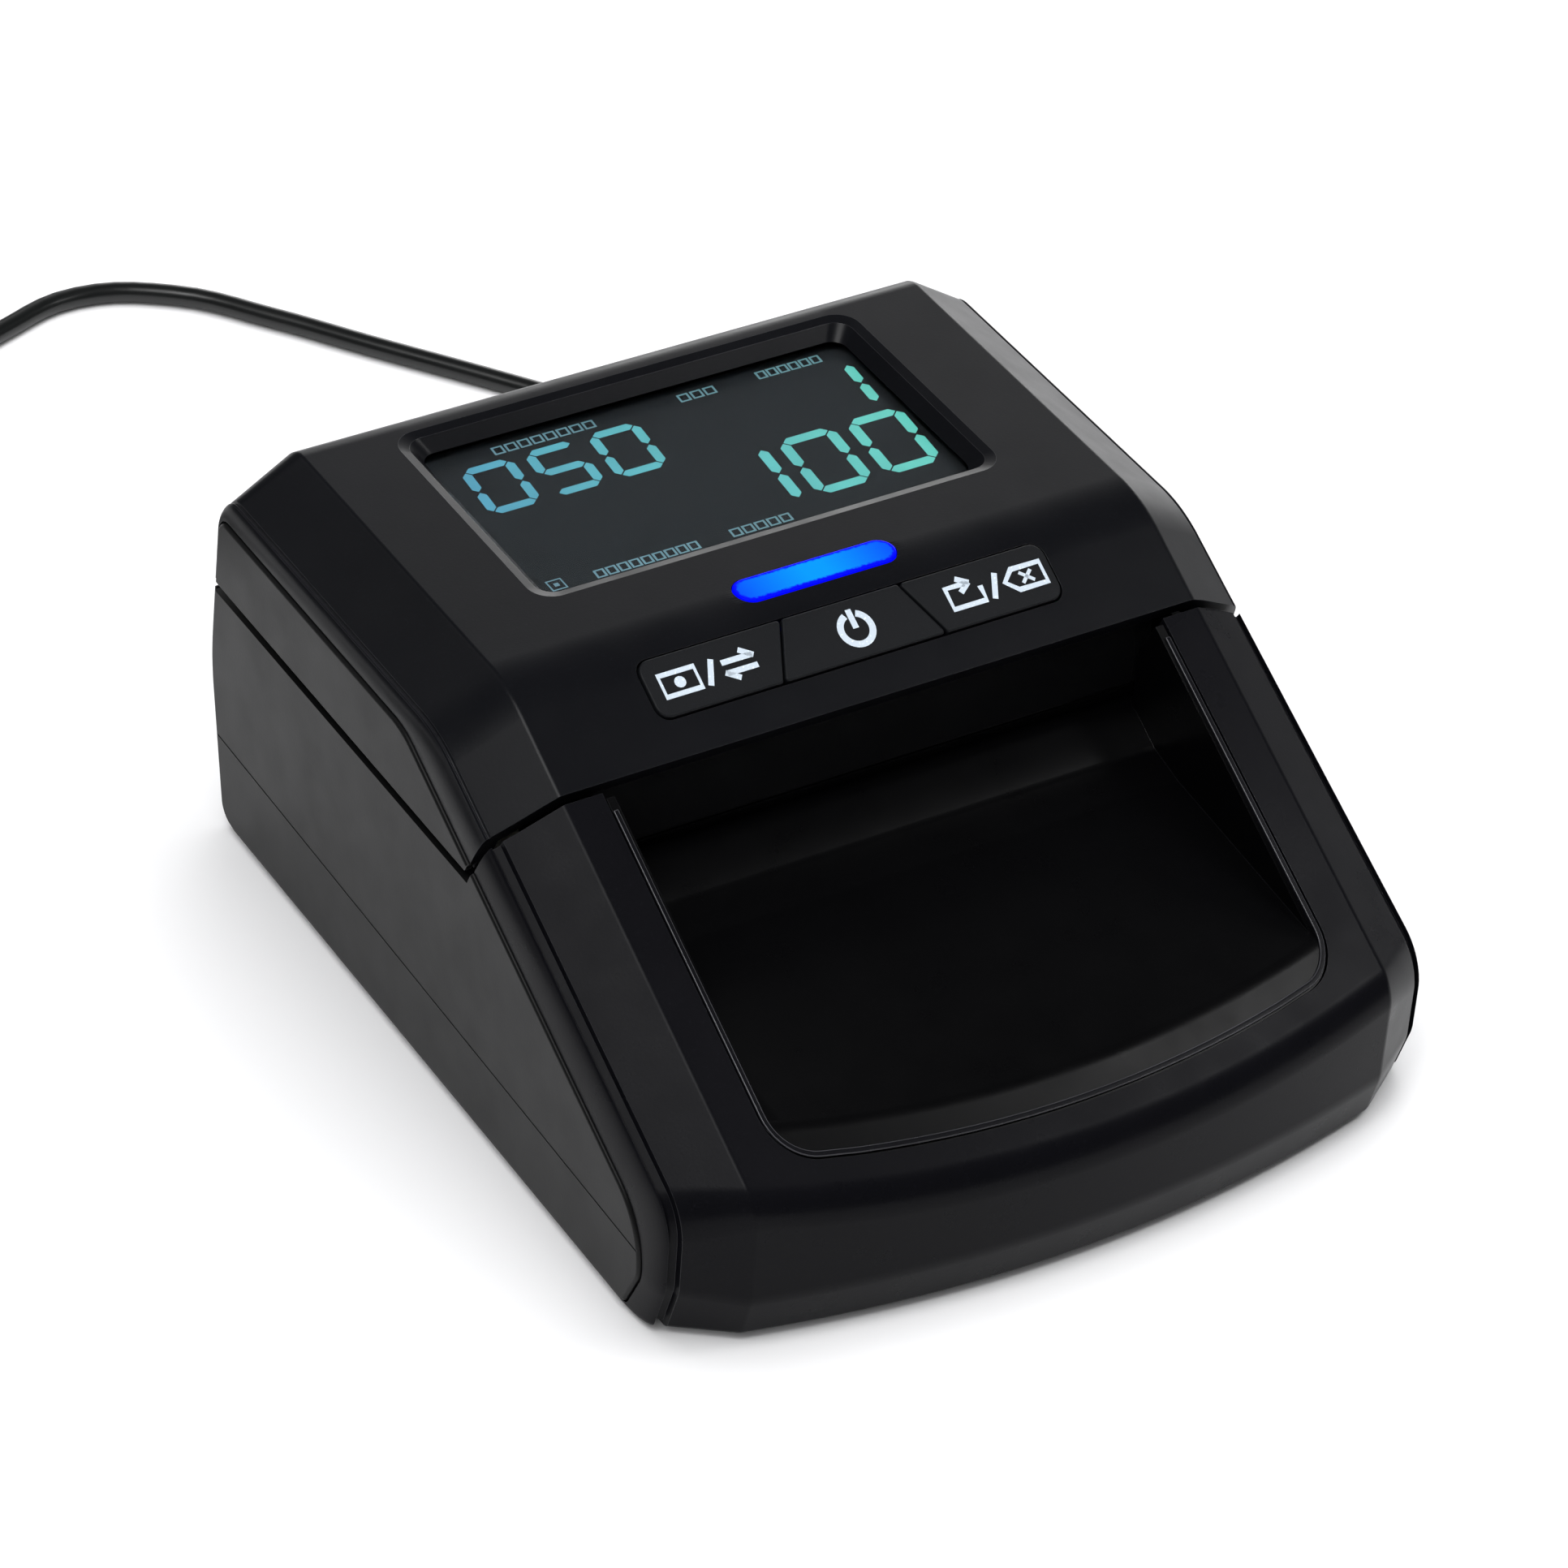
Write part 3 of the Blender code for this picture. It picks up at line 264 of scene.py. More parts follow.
def make_lights():
    """Soft light from above, bright walls on the right, and a dark ceiling that the plastic mirrors."""
    world = bpy.data.worlds.new("studio")
    world.use_nodes = True
    background = world.node_tree.nodes["Background"]
    background.inputs["Color"].default_value = (0.95, 0.97, 1.0, 1.0)
    background.inputs["Strength"].default_value = 0.06
    bpy.context.scene.world = world
    bpy.context.scene.view_settings.view_transform = "Standard"
    for light in LIGHTS:
        area_light(*light)


def make_floor():
    corners = [(x * FLOOR_HALF, y * FLOOR_HALF, 0) for x, y in ((-1, -1), (1, -1), (1, 1), (-1, 1))]
    mesh = bpy.data.meshes.new("floor")
    mesh.from_pydata(corners, [], [range(4)])
    floor = add_to_scene(bpy.data.objects.new("floor", mesh))
    mesh.materials.append(Recipe("floor_white").set(Base_Color=(0.88, 0.88, 0.89, 1), Roughness=0.8))


# ---- plain geometry


def fillet(before, corner, after, radius, steps):
    """The points of a round corner, or the corner itself where the radius is 0."""
    corner = Vector(corner)
    if radius <= 0:
        return [corner]
    to_before = (Vector(before) - corner).normalized()
    to_after = (Vector(after) - corner).normalized()
    half = to_before.angle(to_after) / 2
    reach = radius / math.tan(half)
    centre = corner + (to_before + to_after).normalized() * (radius / math.sin(half))
    start = corner + to_before * reach - centre
    finish = corner + to_after * reach - centre
    turn = start.angle_signed(finish)
    return [centre + Matrix.Rotation(-turn * i / steps, 2) @ start for i in range(steps + 1)]


def outline(corners, steps=10):
    """A closed 2-D outline from (u, v, radius) corners; steps is one number, or one for each corner."""
    if isinstance(steps, int):
        steps = [steps] * len(corners)
    points = []
    for i, (u, v, radius) in enumerate(corners):
        points += fillet(corners[i - 1][:2], (u, v), corners[(i + 1) % len(corners)][:2], radius, steps[i])
    return points


def grown(points, distance):
    """A 2-D outline moved outwards by a distance, or inwards where it is negative."""
    count = len(points)
    area = sum(points[i - 1].x * points[i].y - points[i].x * points[i - 1].y for i in range(count))
    sign = 1 if area > 0 else -1
    moved = []
    for i, point in enumerate(points):
        ahead = (points[(i + 1) % count] - point).normalized()
        behind = (point - points[i - 1]).normalized()
        out = (Vector((ahead.y, -ahead.x)) + Vector((behind.y, -behind.x))).normalized() * sign
        facing = out.dot(Vector((ahead.y, -ahead.x)) * sign)
        moved.append(point + out * distance / max(facing, 0.5))
    return moved


def rounded_rect(x0, x1, y0, y1, radius, steps=8):
    return outline([(x0, y0, radius), (x1, y0, radius), (x1, y1, radius), (x0, y1, radius)], steps)


def polar(u, v, radius, turn):
    return (u + radius * math.cos(turn), v + radius * math.sin(turn))


def circle(u, v, radius, count):
    return [Vector(polar(u, v, radius, 2 * math.pi / count * i)) for i in range(count)]


def capsule(u, v, half, radius, steps=16):
    """A bar with round ends, half long to each side of (u, v)."""
    ends = [(half - radius, -90), (radius - half, 90)]
    return [Vector(polar(u + middle, v, radius, math.radians(start + 180 * i / steps)))
            for middle, start in ends for i in range(steps + 1)]


def place(axis, point, along):
    """The 3-D point of a 2-D one in the plane across an axis."""
    u, v = point
    return {"X": (along, u, v), "Y": (u, along, v), "Z": (u, v, along)}[axis]


# ---- solids


def new_object(bm):
    bmesh.ops.recalc_face_normals(bm, faces=bm.faces)
    mesh = bpy.data.meshes.new("solid")
    bm.to_mesh(mesh)
    bm.free()
    return add_to_scene(bpy.data.objects.new("solid", mesh))


def add_loft(bm, sections, closed=False):
    """Adds a closed solid through sections, which are rings of 3-D points in millimetres."""
    rings = [[bm.verts.new(Vector(p) * MM) for p in ring] for ring in sections]
    following = rings[1:] + rings[:1] if closed else rings[1:]
    for lower, upper in zip(rings, following):
        for i in range(len(lower)):
            bm.faces.new((lower[i - 1], lower[i], upper[i], upper[i - 1]))
    if not closed:
        bm.faces.new(rings[0])
        bm.faces.new(rings[-1])


def loft(sections):
    bm = bmesh.new()
    add_loft(bm, sections)
    return new_object(bm)


def prism(axis, points, start, end):
    return loft([[place(axis, p, at) for p in points] for at in (start, end)])


def box(x, y, z):
    corners = [Vector((x[0], y[0])), Vector((x[1], y[0])), Vector((x[1], y[1])), Vector((x[0], y[1]))]
    return prism("Z", corners, *z)


def rod(axis, u, v, radius, start, end, count=24):
    return prism(axis, circle(u, v, radius, count), start, end)


def turned(axis, u, v, profile, count):
    """A turned solid from (position along the axis, radius) steps."""
    return loft([[place(axis, p, at) for p in circle(u, v, radius, count)] for at, radius in profile])


def combine(obj, operation, *tools):
    """Applies exact Booleans to an object and removes the tools."""
    for tool in tools:
        modifier = obj.modifiers.new("Boolean", "BOOLEAN")
        modifier.operation = operation
        modifier.solver = "EXACT"
        modifier.object = tool
        bpy.context.view_layer.update()
        evaluated = obj.evaluated_get(bpy.context.evaluated_depsgraph_get())
        result = bpy.data.meshes.new_from_object(evaluated)
        obj.modifiers.clear()
        obj.data = result
        bpy.data.objects.remove(tool)
    return obj


def cut(obj, *tools):
    return combine(obj, "DIFFERENCE", *tools)


def join(obj, *tools):
    return combine(obj, "UNION", *tools)


def keep(obj, *tools):
    return combine(obj, "INTERSECT", *tools)


# ---- materials


class Recipe:
    """A node material under construction: texture nodes work in millimetres of the piece's own frame."""

    def __init__(self, name):
        self.material = bpy.data.materials.new(name)
        self.material.use_nodes = True
        self.tree = self.material.node_tree
        coordinates = self.tree.nodes.new("ShaderNodeTexCoord")
        self.place = self.scaled(coordinates.outputs["Object"], (1 / MM,) * 3)

    def fill(self, node, values):
        """Gives a node's sockets plain values, or links other nodes' outputs to them."""
        for socket, value in values.items():
            if isinstance(value, bpy.types.NodeSocket):
                self.tree.links.new(value, node.inputs[socket])
            else:
                node.inputs[socket].default_value = value
        return node

    def node(self, kind, values):
        return self.fill(self.tree.nodes.new(kind), values)

    def scaled(self, source, scale):
        return self.node("ShaderNodeMapping", {"Vector": source, "Scale": scale}).outputs["Vector"]

    def noise(self, size, detail=2.0, stretch=None):
        """A noise whose blots are about size millimetres across, 0 to 1."""
        source = self.scaled(self.place, stretch) if stretch else self.place
        values = {"Vector": source, "Scale": 1 / size, "Detail": detail}
        return self.node("ShaderNodeTexNoise", values).outputs["Fac"]

    def split(self):
        """The piece's own x and y, in millimetres."""
        axes = self.node("ShaderNodeSeparateXYZ", {"Vector": self.place})
        return axes.outputs["X"], axes.outputs["Y"]

    def maths(self, operation, first, second=0.0):
        made = self.node("ShaderNodeMath", {0: first, 1: second})
        made.operation = operation
        return made.outputs[0]

    def spread(self, value, start, end, low_value, high_value):
        """A value's range from start to end, spread over another one."""
        values = {"Value": value, "From Min": start, "From Max": end,
                  "To Min": low_value, "To Max": high_value}
        return self.node("ShaderNodeMapRange", values).outputs["Result"]

    def blend(self, amount, first, second):
        """A colour between two, each a colour or another node's output."""
        made = self.tree.nodes.new("ShaderNodeMix")
        made.data_type = "RGBA"
        first, second = ((*c, 1.0) if isinstance(c, tuple) else c for c in (first, second))
        return self.fill(made, {0: amount, 6: first, 7: second}).outputs[2]

    def bump(self, height, depth, strength, under=None):
        values = {"Height": height, "Distance": depth * MM, "Strength": strength}
        if under:
            values["Normal"] = under
        return self.node("ShaderNodeBump", values).outputs["Normal"]

    def set(self, **values):
        named = {name.replace("_", " "): value for name, value in values.items()}
        self.fill(self.tree.nodes["Principled BSDF"], named)
        return self.material


def moulded(name, colour, lift, roughness, grain_depth=0.010, ior=1.5):
    """Moulded plastic: a fine spark-eroded grain, faint flow mottling and lighter specks."""
    recipe = Recipe(name)
    flow = recipe.noise(30, 3.0)
    smudge = recipe.noise(7, 4.0)
    grit = recipe.noise(0.35, 1.0)
    light = tuple(c * (1 + lift) for c in colour)
    mottled = recipe.blend(recipe.spread(flow, 0.35, 0.65, 0, 1), colour, light)
    speck = tuple(c * 2.2 for c in colour)
    speckled = recipe.blend(recipe.spread(grit, 0.62, 0.80, 0, 0.6), mottled, speck)
    rough = recipe.spread(smudge, 0.3, 0.7, roughness - 0.035, roughness + 0.035)
    waves = recipe.bump(recipe.noise(14, 2.0), 0.02, 0.35)
    return recipe.set(Base_Color=speckled, Roughness=rough, IOR=ior,
                      Normal=recipe.bump(grit, grain_depth, 0.5, waves))


def metal(name, colour, roughness, brushed=None):
    """Drawn or turned metal, with fine lines along it and a few duller patches."""
    recipe = Recipe(name)
    lines = recipe.noise(0.5, 3.0, brushed)
    patches = recipe.noise(6, 3.0)
    dull = tuple(c * 0.72 for c in colour)
    shade = recipe.blend(recipe.spread(patches, 0.4, 0.7, 0, 1), colour, dull)
    rough = recipe.spread(lines, 0.3, 0.7, roughness - 0.08, roughness + 0.10)
    grooves = recipe.bump(lines, 0.006, 0.4)
    return recipe.set(Base_Color=shade, Metallic=1.0, Roughness=rough, Normal=grooves)


def rubber(name, colour, roughness):
    recipe = Recipe(name)
    dust = recipe.noise(1.6, 5.0)
    pores = recipe.noise(0.22, 2.0)
    shade = recipe.blend(recipe.spread(dust, 0.45, 0.8, 0, 0.5), colour, tuple(c * 2.4 for c in colour))
    rough = recipe.spread(pores, 0.3, 0.7, roughness - 0.06, roughness)
    return recipe.set(Base_Color=shade, Roughness=rough, Normal=recipe.bump(pores, 0.03, 0.5))


def board(name):
    """Green circuit board: solder resist over copper tracks that run across it."""
    recipe = Recipe(name)
    tracks = recipe.node("ShaderNodeTexVoronoi", {"Vector": recipe.place, "Scale": 1 / 2.6})
    tracks.distance = "CHEBYCHEV"
    tracks.feature = "F1"
    copper = recipe.spread(tracks.outputs["Distance"], 0.42, 0.46, 0, 1)
    shade = recipe.blend(copper, (0.012, 0.10, 0.045), (0.03, 0.20, 0.08))
    rough = recipe.spread(recipe.noise(3.0), 0.3, 0.7, 0.32, 0.45)
    return recipe.set(Base_Color=shade, Roughness=rough, Normal=recipe.bump(copper, 0.03, 0.6))


def lit(name, left, right, strength):
    """Lit display ink: its colour drifts from one end of the display to the other."""
    recipe = Recipe(name)
    across = recipe.spread(recipe.split()[0], -WINDOW_X, WINDOW_X, 0, 1)
    patches = recipe.noise(6.0, 2.0)
    shade = recipe.blend(across, left, right)
    glow = recipe.spread(patches, 0.3, 0.7, strength * 0.92, strength * 1.08)
    return recipe.set(Base_Color=(0.01, 0.01, 0.01, 1), Emission_Color=shade, Emission_Strength=glow,
                      Roughness=recipe.spread(patches, 0, 1, 0.25, 0.35))


def light_bar_lens():
    """Blue diffuser: palest in the middle, deeper towards its ends and pure blue at its rim."""
    recipe = Recipe("light_lens_blue")
    x, y = recipe.split()
    from_middle = recipe.maths("ABSOLUTE", x)
    beyond = recipe.maths("MAXIMUM", recipe.maths("SUBTRACT", from_middle, LIGHT_HALF - LIGHT_R))
    across = recipe.maths("SUBTRACT", y, LIGHT_Y)
    reach = recipe.maths("SQRT", recipe.maths("ADD", recipe.maths("MULTIPLY", beyond, beyond),
                                              recipe.maths("MULTIPLY", across, across)))
    speckle = recipe.spread(recipe.noise(0.5, 3.0), 0.3, 0.7, -0.14, 0.14)
    rim = recipe.spread(recipe.maths("ADD", reach, speckle), 1.65, 1.95, 0, 1)
    along = recipe.maths("ADD", from_middle, speckle)
    body = recipe.blend(recipe.spread(along, 1.5, LIGHT_HALF - 1, 0, 1), (0.0, 0.34, 1.0), (0.0, 0.10, 1.0))
    shade = recipe.blend(rim, body, (0.0, 0.0, 1.0))
    rough = recipe.spread(speckle, -0.2, 0.2, 0.28, 0.36)
    return recipe.set(Base_Color=(0.0, 0.002, 0.05, 1), Emission_Color=shade, Emission_Strength=1.0,
                      IOR=1.1, Roughness=rough)


def clear_window():
    recipe = Recipe("window_clear")
    haze = recipe.spread(recipe.noise(5, 4.0), 0.4, 0.8, 0.03, 0.09)
    return recipe.set(Base_Color=(0.80, 0.84, 0.86, 1), Transmission_Weight=1.0, IOR=1.12, Roughness=haze)


MATERIALS = {}


def build_materials():
    """Fills the table of materials; a finish with an edge of its own has a second row for it: rubbed wear
    plus a painted highlight.
    """
    MATERIALS.update({
        "casing": moulded("casing_black", (0.003, 0.003, 0.004), 0.20, 0.29, ior=1.165),
        "lid": moulded("lid_black", (0.0028, 0.003, 0.004), 0.20, 0.32, ior=1.27),
        "panel": moulded("panel_black", (0.005, 0.005, 0.0052), 0.15, 0.38, ior=1.24),
        # The edge rows make bevelled edges lighter and more reflective than the faces: part rubbed wear,
        # part painted highlight.
        "casing_edge": moulded("casing_edge_wear_and_highlight", (0.022, 0.022, 0.025), 0.9, 0.26, ior=1.55),
        "lid_edge": moulded("lid_edge_wear_and_highlight", (0.016, 0.016, 0.018), 0.9, 0.28, ior=1.45),
        "panel_edge": moulded("panel_edge_wear_and_highlight", (0.012, 0.012, 0.012), 0.9, 0.32, ior=1.36),
        "tray_edge": moulded("tray_edge_wear_and_highlight", (0.006, 0.006, 0.007), 0.9, 0.26, ior=1.4),
        "tray": moulded("tray_black", (0.001, 0.001, 0.0012), 0.15, 0.30, grain_depth=0.006, ior=1.24),
        "guide": moulded("guide_black", (0.003, 0.003, 0.0034), 0.15, 0.20, grain_depth=0.003),
        "key": moulded("key_black", (0.005, 0.0055, 0.0066), 0.12, 0.46, grain_depth=0.014, ior=1.32),
        "sensor": moulded("sensor_black", (0.010, 0.010, 0.014), 0.15, 0.28),
        "cord": moulded("cord_black", (0.0035, 0.004, 0.004), 0.25, 0.34, grain_depth=0.008),
        "adapter": moulded("adapter_black", (0.010, 0.010, 0.011), 0.15, 0.46),
        "gear": moulded("gear_white", (0.62, 0.60, 0.54), 0.06, 0.42),
        "ink": moulded("key_ink", (0.48, 0.55, 0.62), 0.06, 0.55),
        "legend": lit("legend_teal", (0.11, 0.22, 0.27), (0.11, 0.24, 0.26), 1.35),
        "lcd": moulded("lcd_film", (0.0085, 0.0105, 0.0125), 0.06, 0.35, grain_depth=0.002, ior=1.2),
        "steel": metal("steel_plate", (0.56, 0.56, 0.58), 0.32),
        "shaft": metal("steel_turned", (0.60, 0.60, 0.61), 0.24, (1, 8, 8)),
        "brass": metal("brass_turned", (0.70, 0.52, 0.24), 0.30),
        "tin": metal("motor_can", (0.60, 0.60, 0.62), 0.34, (8, 1, 1)),
        "rubber": rubber("rubber_black", (0.014, 0.014, 0.014), 0.82),
        "roller": rubber("roller_rubber", (0.040, 0.040, 0.042), 0.70),
        "board": board("board_green"),
        "glass": clear_window(),
        "lens": light_bar_lens(),
        "digit": lit("digit_teal", (0.075, 0.34, 0.50), (0.13, 0.64, 0.53), 1.10),
    })


def dress(obj, finish):
    """Gives a piece its material and, where it has one, a second one for its bevelled edges: rubbed wear
    plus painted highlight.
    """
    obj.data.materials.clear()
    obj.data.materials.append(MATERIALS[finish])
    # The edge row colours the bevelled edges: part rubbed wear, part painted highlight.
    if f"{finish}_edge" in MATERIALS:
        obj.data.materials.append(MATERIALS[f"{finish}_edge"])


def smooth(obj, angle, bevel):
    """Rounds a piece's edges and shades its curved faces smooth."""
    if bevel:
        modifier = obj.modifiers.new("Edges", "BEVEL")
        modifier.width = bevel * MM
        modifier.segments = 2
        modifier.limit_method = "ANGLE"
        modifier.angle_limit = math.radians(angle)
        modifier.use_clamp_overlap = True
        # Bevel faces take the last material: where a finish has an edge row, that is rubbed wear plus a
        # painted highlight.
        modifier.material = len(obj.data.materials) - 1
    obj.data.shade_smooth()
    obj.data.set_sharp_from_angle(angle=math.radians(angle))
    weighted = obj.modifiers.new("Normals", "WEIGHTED_NORMAL")
    weighted.keep_sharp = not bevel


def piece(obj, name, finish, body, slot, *nodes, bevel=0.0, angle=40):
    """Names a finished piece, dresses it, and lets it ride on a body in place of its CAD nodes."""
    obj.name = name
    obj.data.name = name
    dress(obj, finish)
    smooth(obj, angle, bevel)
    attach(obj, body)
    if nodes:
        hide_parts(*nodes)


# ---- power lead


def coil_points():
    """The wound part of the lead: four turns inwards on the floor, then four outwards on top of them.

    Angles are in degrees. Each turn keeps its radius until shift_start, then eases over to the next one.
    """
    first, last, shift_start, shift_width = 106.0, 180.0, 95.0, 90.0
    windings = len(COIL_RADII) - 2
    steps = windings * 24 + 5
    points = []
    for i in range(steps + 1):
        angle = first + (last - first + 360 * windings) * i / steps
        radius, z = COIL_RADII[0], COIL_Z[0]
        for k in range(windings + 1):
            share = min(1, max(0, (angle - shift_start - 360 * k) / shift_width))
            eased = share * share * (3 - 2 * share)
            radius += (COIL_RADII[k + 1] - COIL_RADII[k]) * eased
            if k == windings / 2:
                z += (COIL_Z[1] - COIL_Z[0]) * eased
        points.append((*polar(*COIL_CENTRE, radius, math.radians(angle)), z))
    return points


def make_cord():
    """The lead in one smooth curve: from the plug over the table, round the coil and into the adapter."""
    points = CORD_ROUTE + coil_points() + TAIL_ROUTE
    curve = bpy.data.curves.new("power_lead", "CURVE")
    curve.dimensions = "3D"
    curve.bevel_depth = CORD_R * MM
    curve.bevel_resolution = 5
    curve.resolution_u = 5
    curve.use_fill_caps = True
    spline = curve.splines.new("BEZIER")
    spline.bezier_points.add(len(points) - 1)
    for knot, point in zip(spline.bezier_points, points):
        knot.co = Vector(point) * MM
        knot.handle_left_type = knot.handle_right_type = "AUTO"
    lead = add_to_scene(bpy.data.objects.new("power_lead", curve))
    dress(lead, "cord")
    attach(lead, "casing")
    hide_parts("power_cord", "power_cord_coil", "power_cord_tail")
    return lead


# ---- casing


def bowed(corners, x):
    """The ridge's side view at another x: the chin swells forwards, down the line of the slope."""
    swell = CHIN_BOW * (1 - (x / RIDGE_X) ** 2)
    top, knee, nose, front, toe, heel, back = corners
    return [top, knee, (nose[0] - swell, nose[1] - SLOPE * swell, nose[2]),
            (front[0] - swell, front[1], front[2]), (toe[0] - swell, toe[1], toe[2]), heel, back]


def dropped_foot(corners, foot):
    """The same side view with its underside moved down, to leave a cavity open below."""
    top, knee, nose, front, toe, heel, back = corners
    return [top, knee, nose, front, (toe[0], foot, 0.1), (heel[0], foot, 0.1), back]


def section(x, corners, inset=0.0, foot=None):
    shape = dropped_foot(corners, foot) if foot is not None else corners
    return [Vector(place("X", p, x)) for p in grown(outline(shape, SIDE_STEPS), -inset)]


def between(first, second, share):
    return [a.lerp(b, share) for a, b in zip(first, second)]


def softened(before, corner, after, steps=5):
    """Rings that round the edge at a corner ring, from a ring before it to a ring after it."""
    rings = []
    for i in range(steps + 1):
        t = i / steps
        rings.append([a * (1 - t) ** 2 + b * 2 * t * (1 - t) + c * t ** 2
                      for a, b, c in zip(before, corner, after)])
    return rings


def casing_block(stations, groove):
    """The casing's outer block: crisp ridges, flat chamfers, and a round bead along each side panel.

    stations are the x places, from the middle outwards, of the sections between the ridges.
    """
    soft = 0.35
    inner_x = RIDGE_X - soft
    groove_wide, groove_deep = groove
    places = [-x for x in reversed(stations) if x > 0] + list(stations)
    middle = [section(x, bowed(RIDGE, x)) for x in places]
    chamfer = SHOULDER_X - RIDGE_X
    halves = []
    for side in SIDES:
        ridge = section(side * RIDGE_X, RIDGE)
        shoulder = section(side * SHOULDER_X, SHOULDER)
        flank = section(side * FLANK_X, FLANK)
        start = section(side * inner_x, bowed(RIDGE, inner_x))
        rings = softened(start, ridge, between(ridge, shoulder, soft / chamfer))
        lip = groove_wide + GROOVE_LIP
        rings += [between(ridge, shoulder, 1 - reach / chamfer) for reach in (lip + GROOVE_LIP, lip)]
        bottom = between(ridge, shoulder, 1 - groove_wide / chamfer)
        rings += [shrunk(bottom, groove_deep), shrunk(shoulder, groove_deep)]
        for i in range(1, BEAD_STEPS + 1):
            turn = BEAD_TURN * i / BEAD_STEPS
            share = (1 - math.cos(turn)) / (1 - math.cos(BEAD_TURN))
            x = side * (SHOULDER_X + BEAD_WIDE * math.sin(turn) / math.sin(BEAD_TURN))
            rings.append([Vector((x, p.y, p.z)) for p in between(shoulder, flank, share)])
        halves.append(rings)
    return loft(halves[0][::-1] + middle + halves[1])


def shrunk(ring, distance):
    """A ring of the side view moved inwards in its own plane."""
    flat = grown([Vector((p.y, p.z)) for p in ring], -distance)
    return [Vector((ring[0].x, p.x, p.y)) for p in flat]


def casing_cavity():
    ridge_x = RIDGE_X - 0.3 * WALL
    side_x = SIDE_PANEL_X - 2.0
    left, right = (section(side * side_x, SHOULDER, 0.7 * WALL, CAVITY_FOOT) for side in SIDES)
    middle = [section(ridge_x * i / 5, bowed(RIDGE, RIDGE_X * i / 5), WALL, CAVITY_FOOT)
              for i in range(-5, 6)]
    return loft([left, *middle, right])


def mirrored(side, span):
    """A span of x on the right, or the same one on the left, in rising order."""
    return sorted(side * x for x in span)


def lid_region(shift=0.0, seam=LID_SEAM_Z):
    """Everything behind the lid's front edge and above the seam."""
    y, z = LID_FRONT
    ceiling = TOP_Z + PAST
    corners = [(y - (ceiling - z) * SEAM_LEAN + shift, ceiling), (y + (z - seam) * SEAM_LEAN + shift, seam),
               (REAR + PAST, seam), (REAR + PAST, ceiling)]
    return prism("X", [Vector(c) for c in corners], -ACROSS, ACROSS)


def side_plate(side, inset, inner_x, outer_x, soft=0.0):
    """A plate of the casing's side view, shrunk by an inset, at one side, with a rounded outer edge."""
    points = grown(outline(FLANK, 12), -inset)
    rings = [(points, inner_x)]
    steps = 4 if soft else 0
    for i in range(steps + 1):
        turn = math.pi / 2 * i / max(steps, 1)
        rings.append((grown(points, -soft * (1 - math.cos(turn))), outer_x - soft * (1 - math.sin(turn))))
    return loft([[place("X", p, side * x) for p in ring] for ring, x in rings])


def lip_y(x):
    """The tray's lip is bowed like the chin."""
    return LIP_Y + CHIN_BOW * (x / RIDGE_X) ** 2


def tray_plan(inset=0.0):
    """The tray opening seen from above: straight sides, round corners and a bowed lip."""
    corners = [(OPENING_X, OPENING_REAR_Y, 0), (-OPENING_X, OPENING_REAR_Y, 0)]
    corners += [(-OPENING_X, lip_y(OPENING_X), LIP_CORNER)]
    corners += [(x, lip_y(x), 0) for x in range(-32, 33, 4)]
    corners += [(OPENING_X, lip_y(OPENING_X), LIP_CORNER)]
    return grown(outline(corners), -inset)


def panel_seat(side):
    return side_plate(side, GAP, SIDE_PANEL_X, FLANK_X + 5)


def make_base_shell():
    """The wedge casing below and in front of the lid, open underneath, with the rear exit slot and jack."""
    cavity = casing_cavity()
    for x, y in BOSS_SPOTS:
        cut(cavity, rod("Z", x, y, BOSS_R, *BOSS_Z))
    bow_steps = 12
    stations = [RIDGE_X * i / bow_steps for i in range(bow_steps)]
    shell = cut(casing_block(stations, BASE_GROOVE), lid_region(-FRONT_GAP, BASE_SEAM_Z), cavity)
    below_tray = 8.0
    cut(shell, prism("Z", tray_plan(), below_tray, TOP_Z))
    cut(shell, *map(panel_seat, SIDES))
    for x, y in BOSS_SPOTS:
        cut(shell, rod("Z", x, y, SCREW_BORE_R, *SCREW_BORE_Z))
    jack = rounded_rect(JACK_X - JACK_HALF_X, JACK_X + JACK_HALF_X,
                        JACK_Z - JACK_HALF_Z, JACK_Z + JACK_HALF_Z, 1.2)
    cut(shell, prism("Y", jack, *REAR_CUT))
    slot_z = (high("lower_guide").z - 0.4, BASE_SEAM_Z + 1)
    cut(shell, box((-NOTE_X - 1, NOTE_X + 1), REAR_CUT, slot_z))
    piece(shell, "base_casing", "casing", "casing", "casing_black", "base_shell", bevel=0.22)


def slope_point(y, proud=0.0):
    """A point (y, z) on the sloping front, or above it by proud along its normal."""
    z = LID_FRONT[1] + SLOPE * (y - LID_FRONT[0]) - 0.2
    return Vector((y - proud * math.sin(SLOPE_ANGLE), z + proud * math.cos(SLOPE_ANGLE)))


def slope_ring(points, proud):
    """A plan outline laid on the slope, at a height proud above it."""
    return [(p.x, *slope_point(p.y, proud)) for p in points]


def display_recess():
    """The opening over the display: its walls lean out to a narrow bevel under the top."""
    y0, y1 = DISPLAY_Y - WINDOW_HALF_Y, DISPLAY_Y + WINDOW_HALF_Y
    proud = 0.2
    outer_lean = RECESS_LEAN + RECESS_BEVEL * (1 + proud / RECESS_BEVEL_DEEP)
    rings = []
    for rise, lean, corner in ((-6.0, 0, 2.2), (-2.5, 0, 2.2), (-RECESS_BEVEL_DEEP, RECESS_LEAN, 2.7),
                               (proud, outer_lean, 4.0)):
        plan = rounded_rect(-WINDOW_X - lean, WINDOW_X + lean, y0 - lean, y1 + lean, corner, 10)
        rings.append([place("Z", p, TOP_Z + rise) for p in plan])
    return loft(rings)


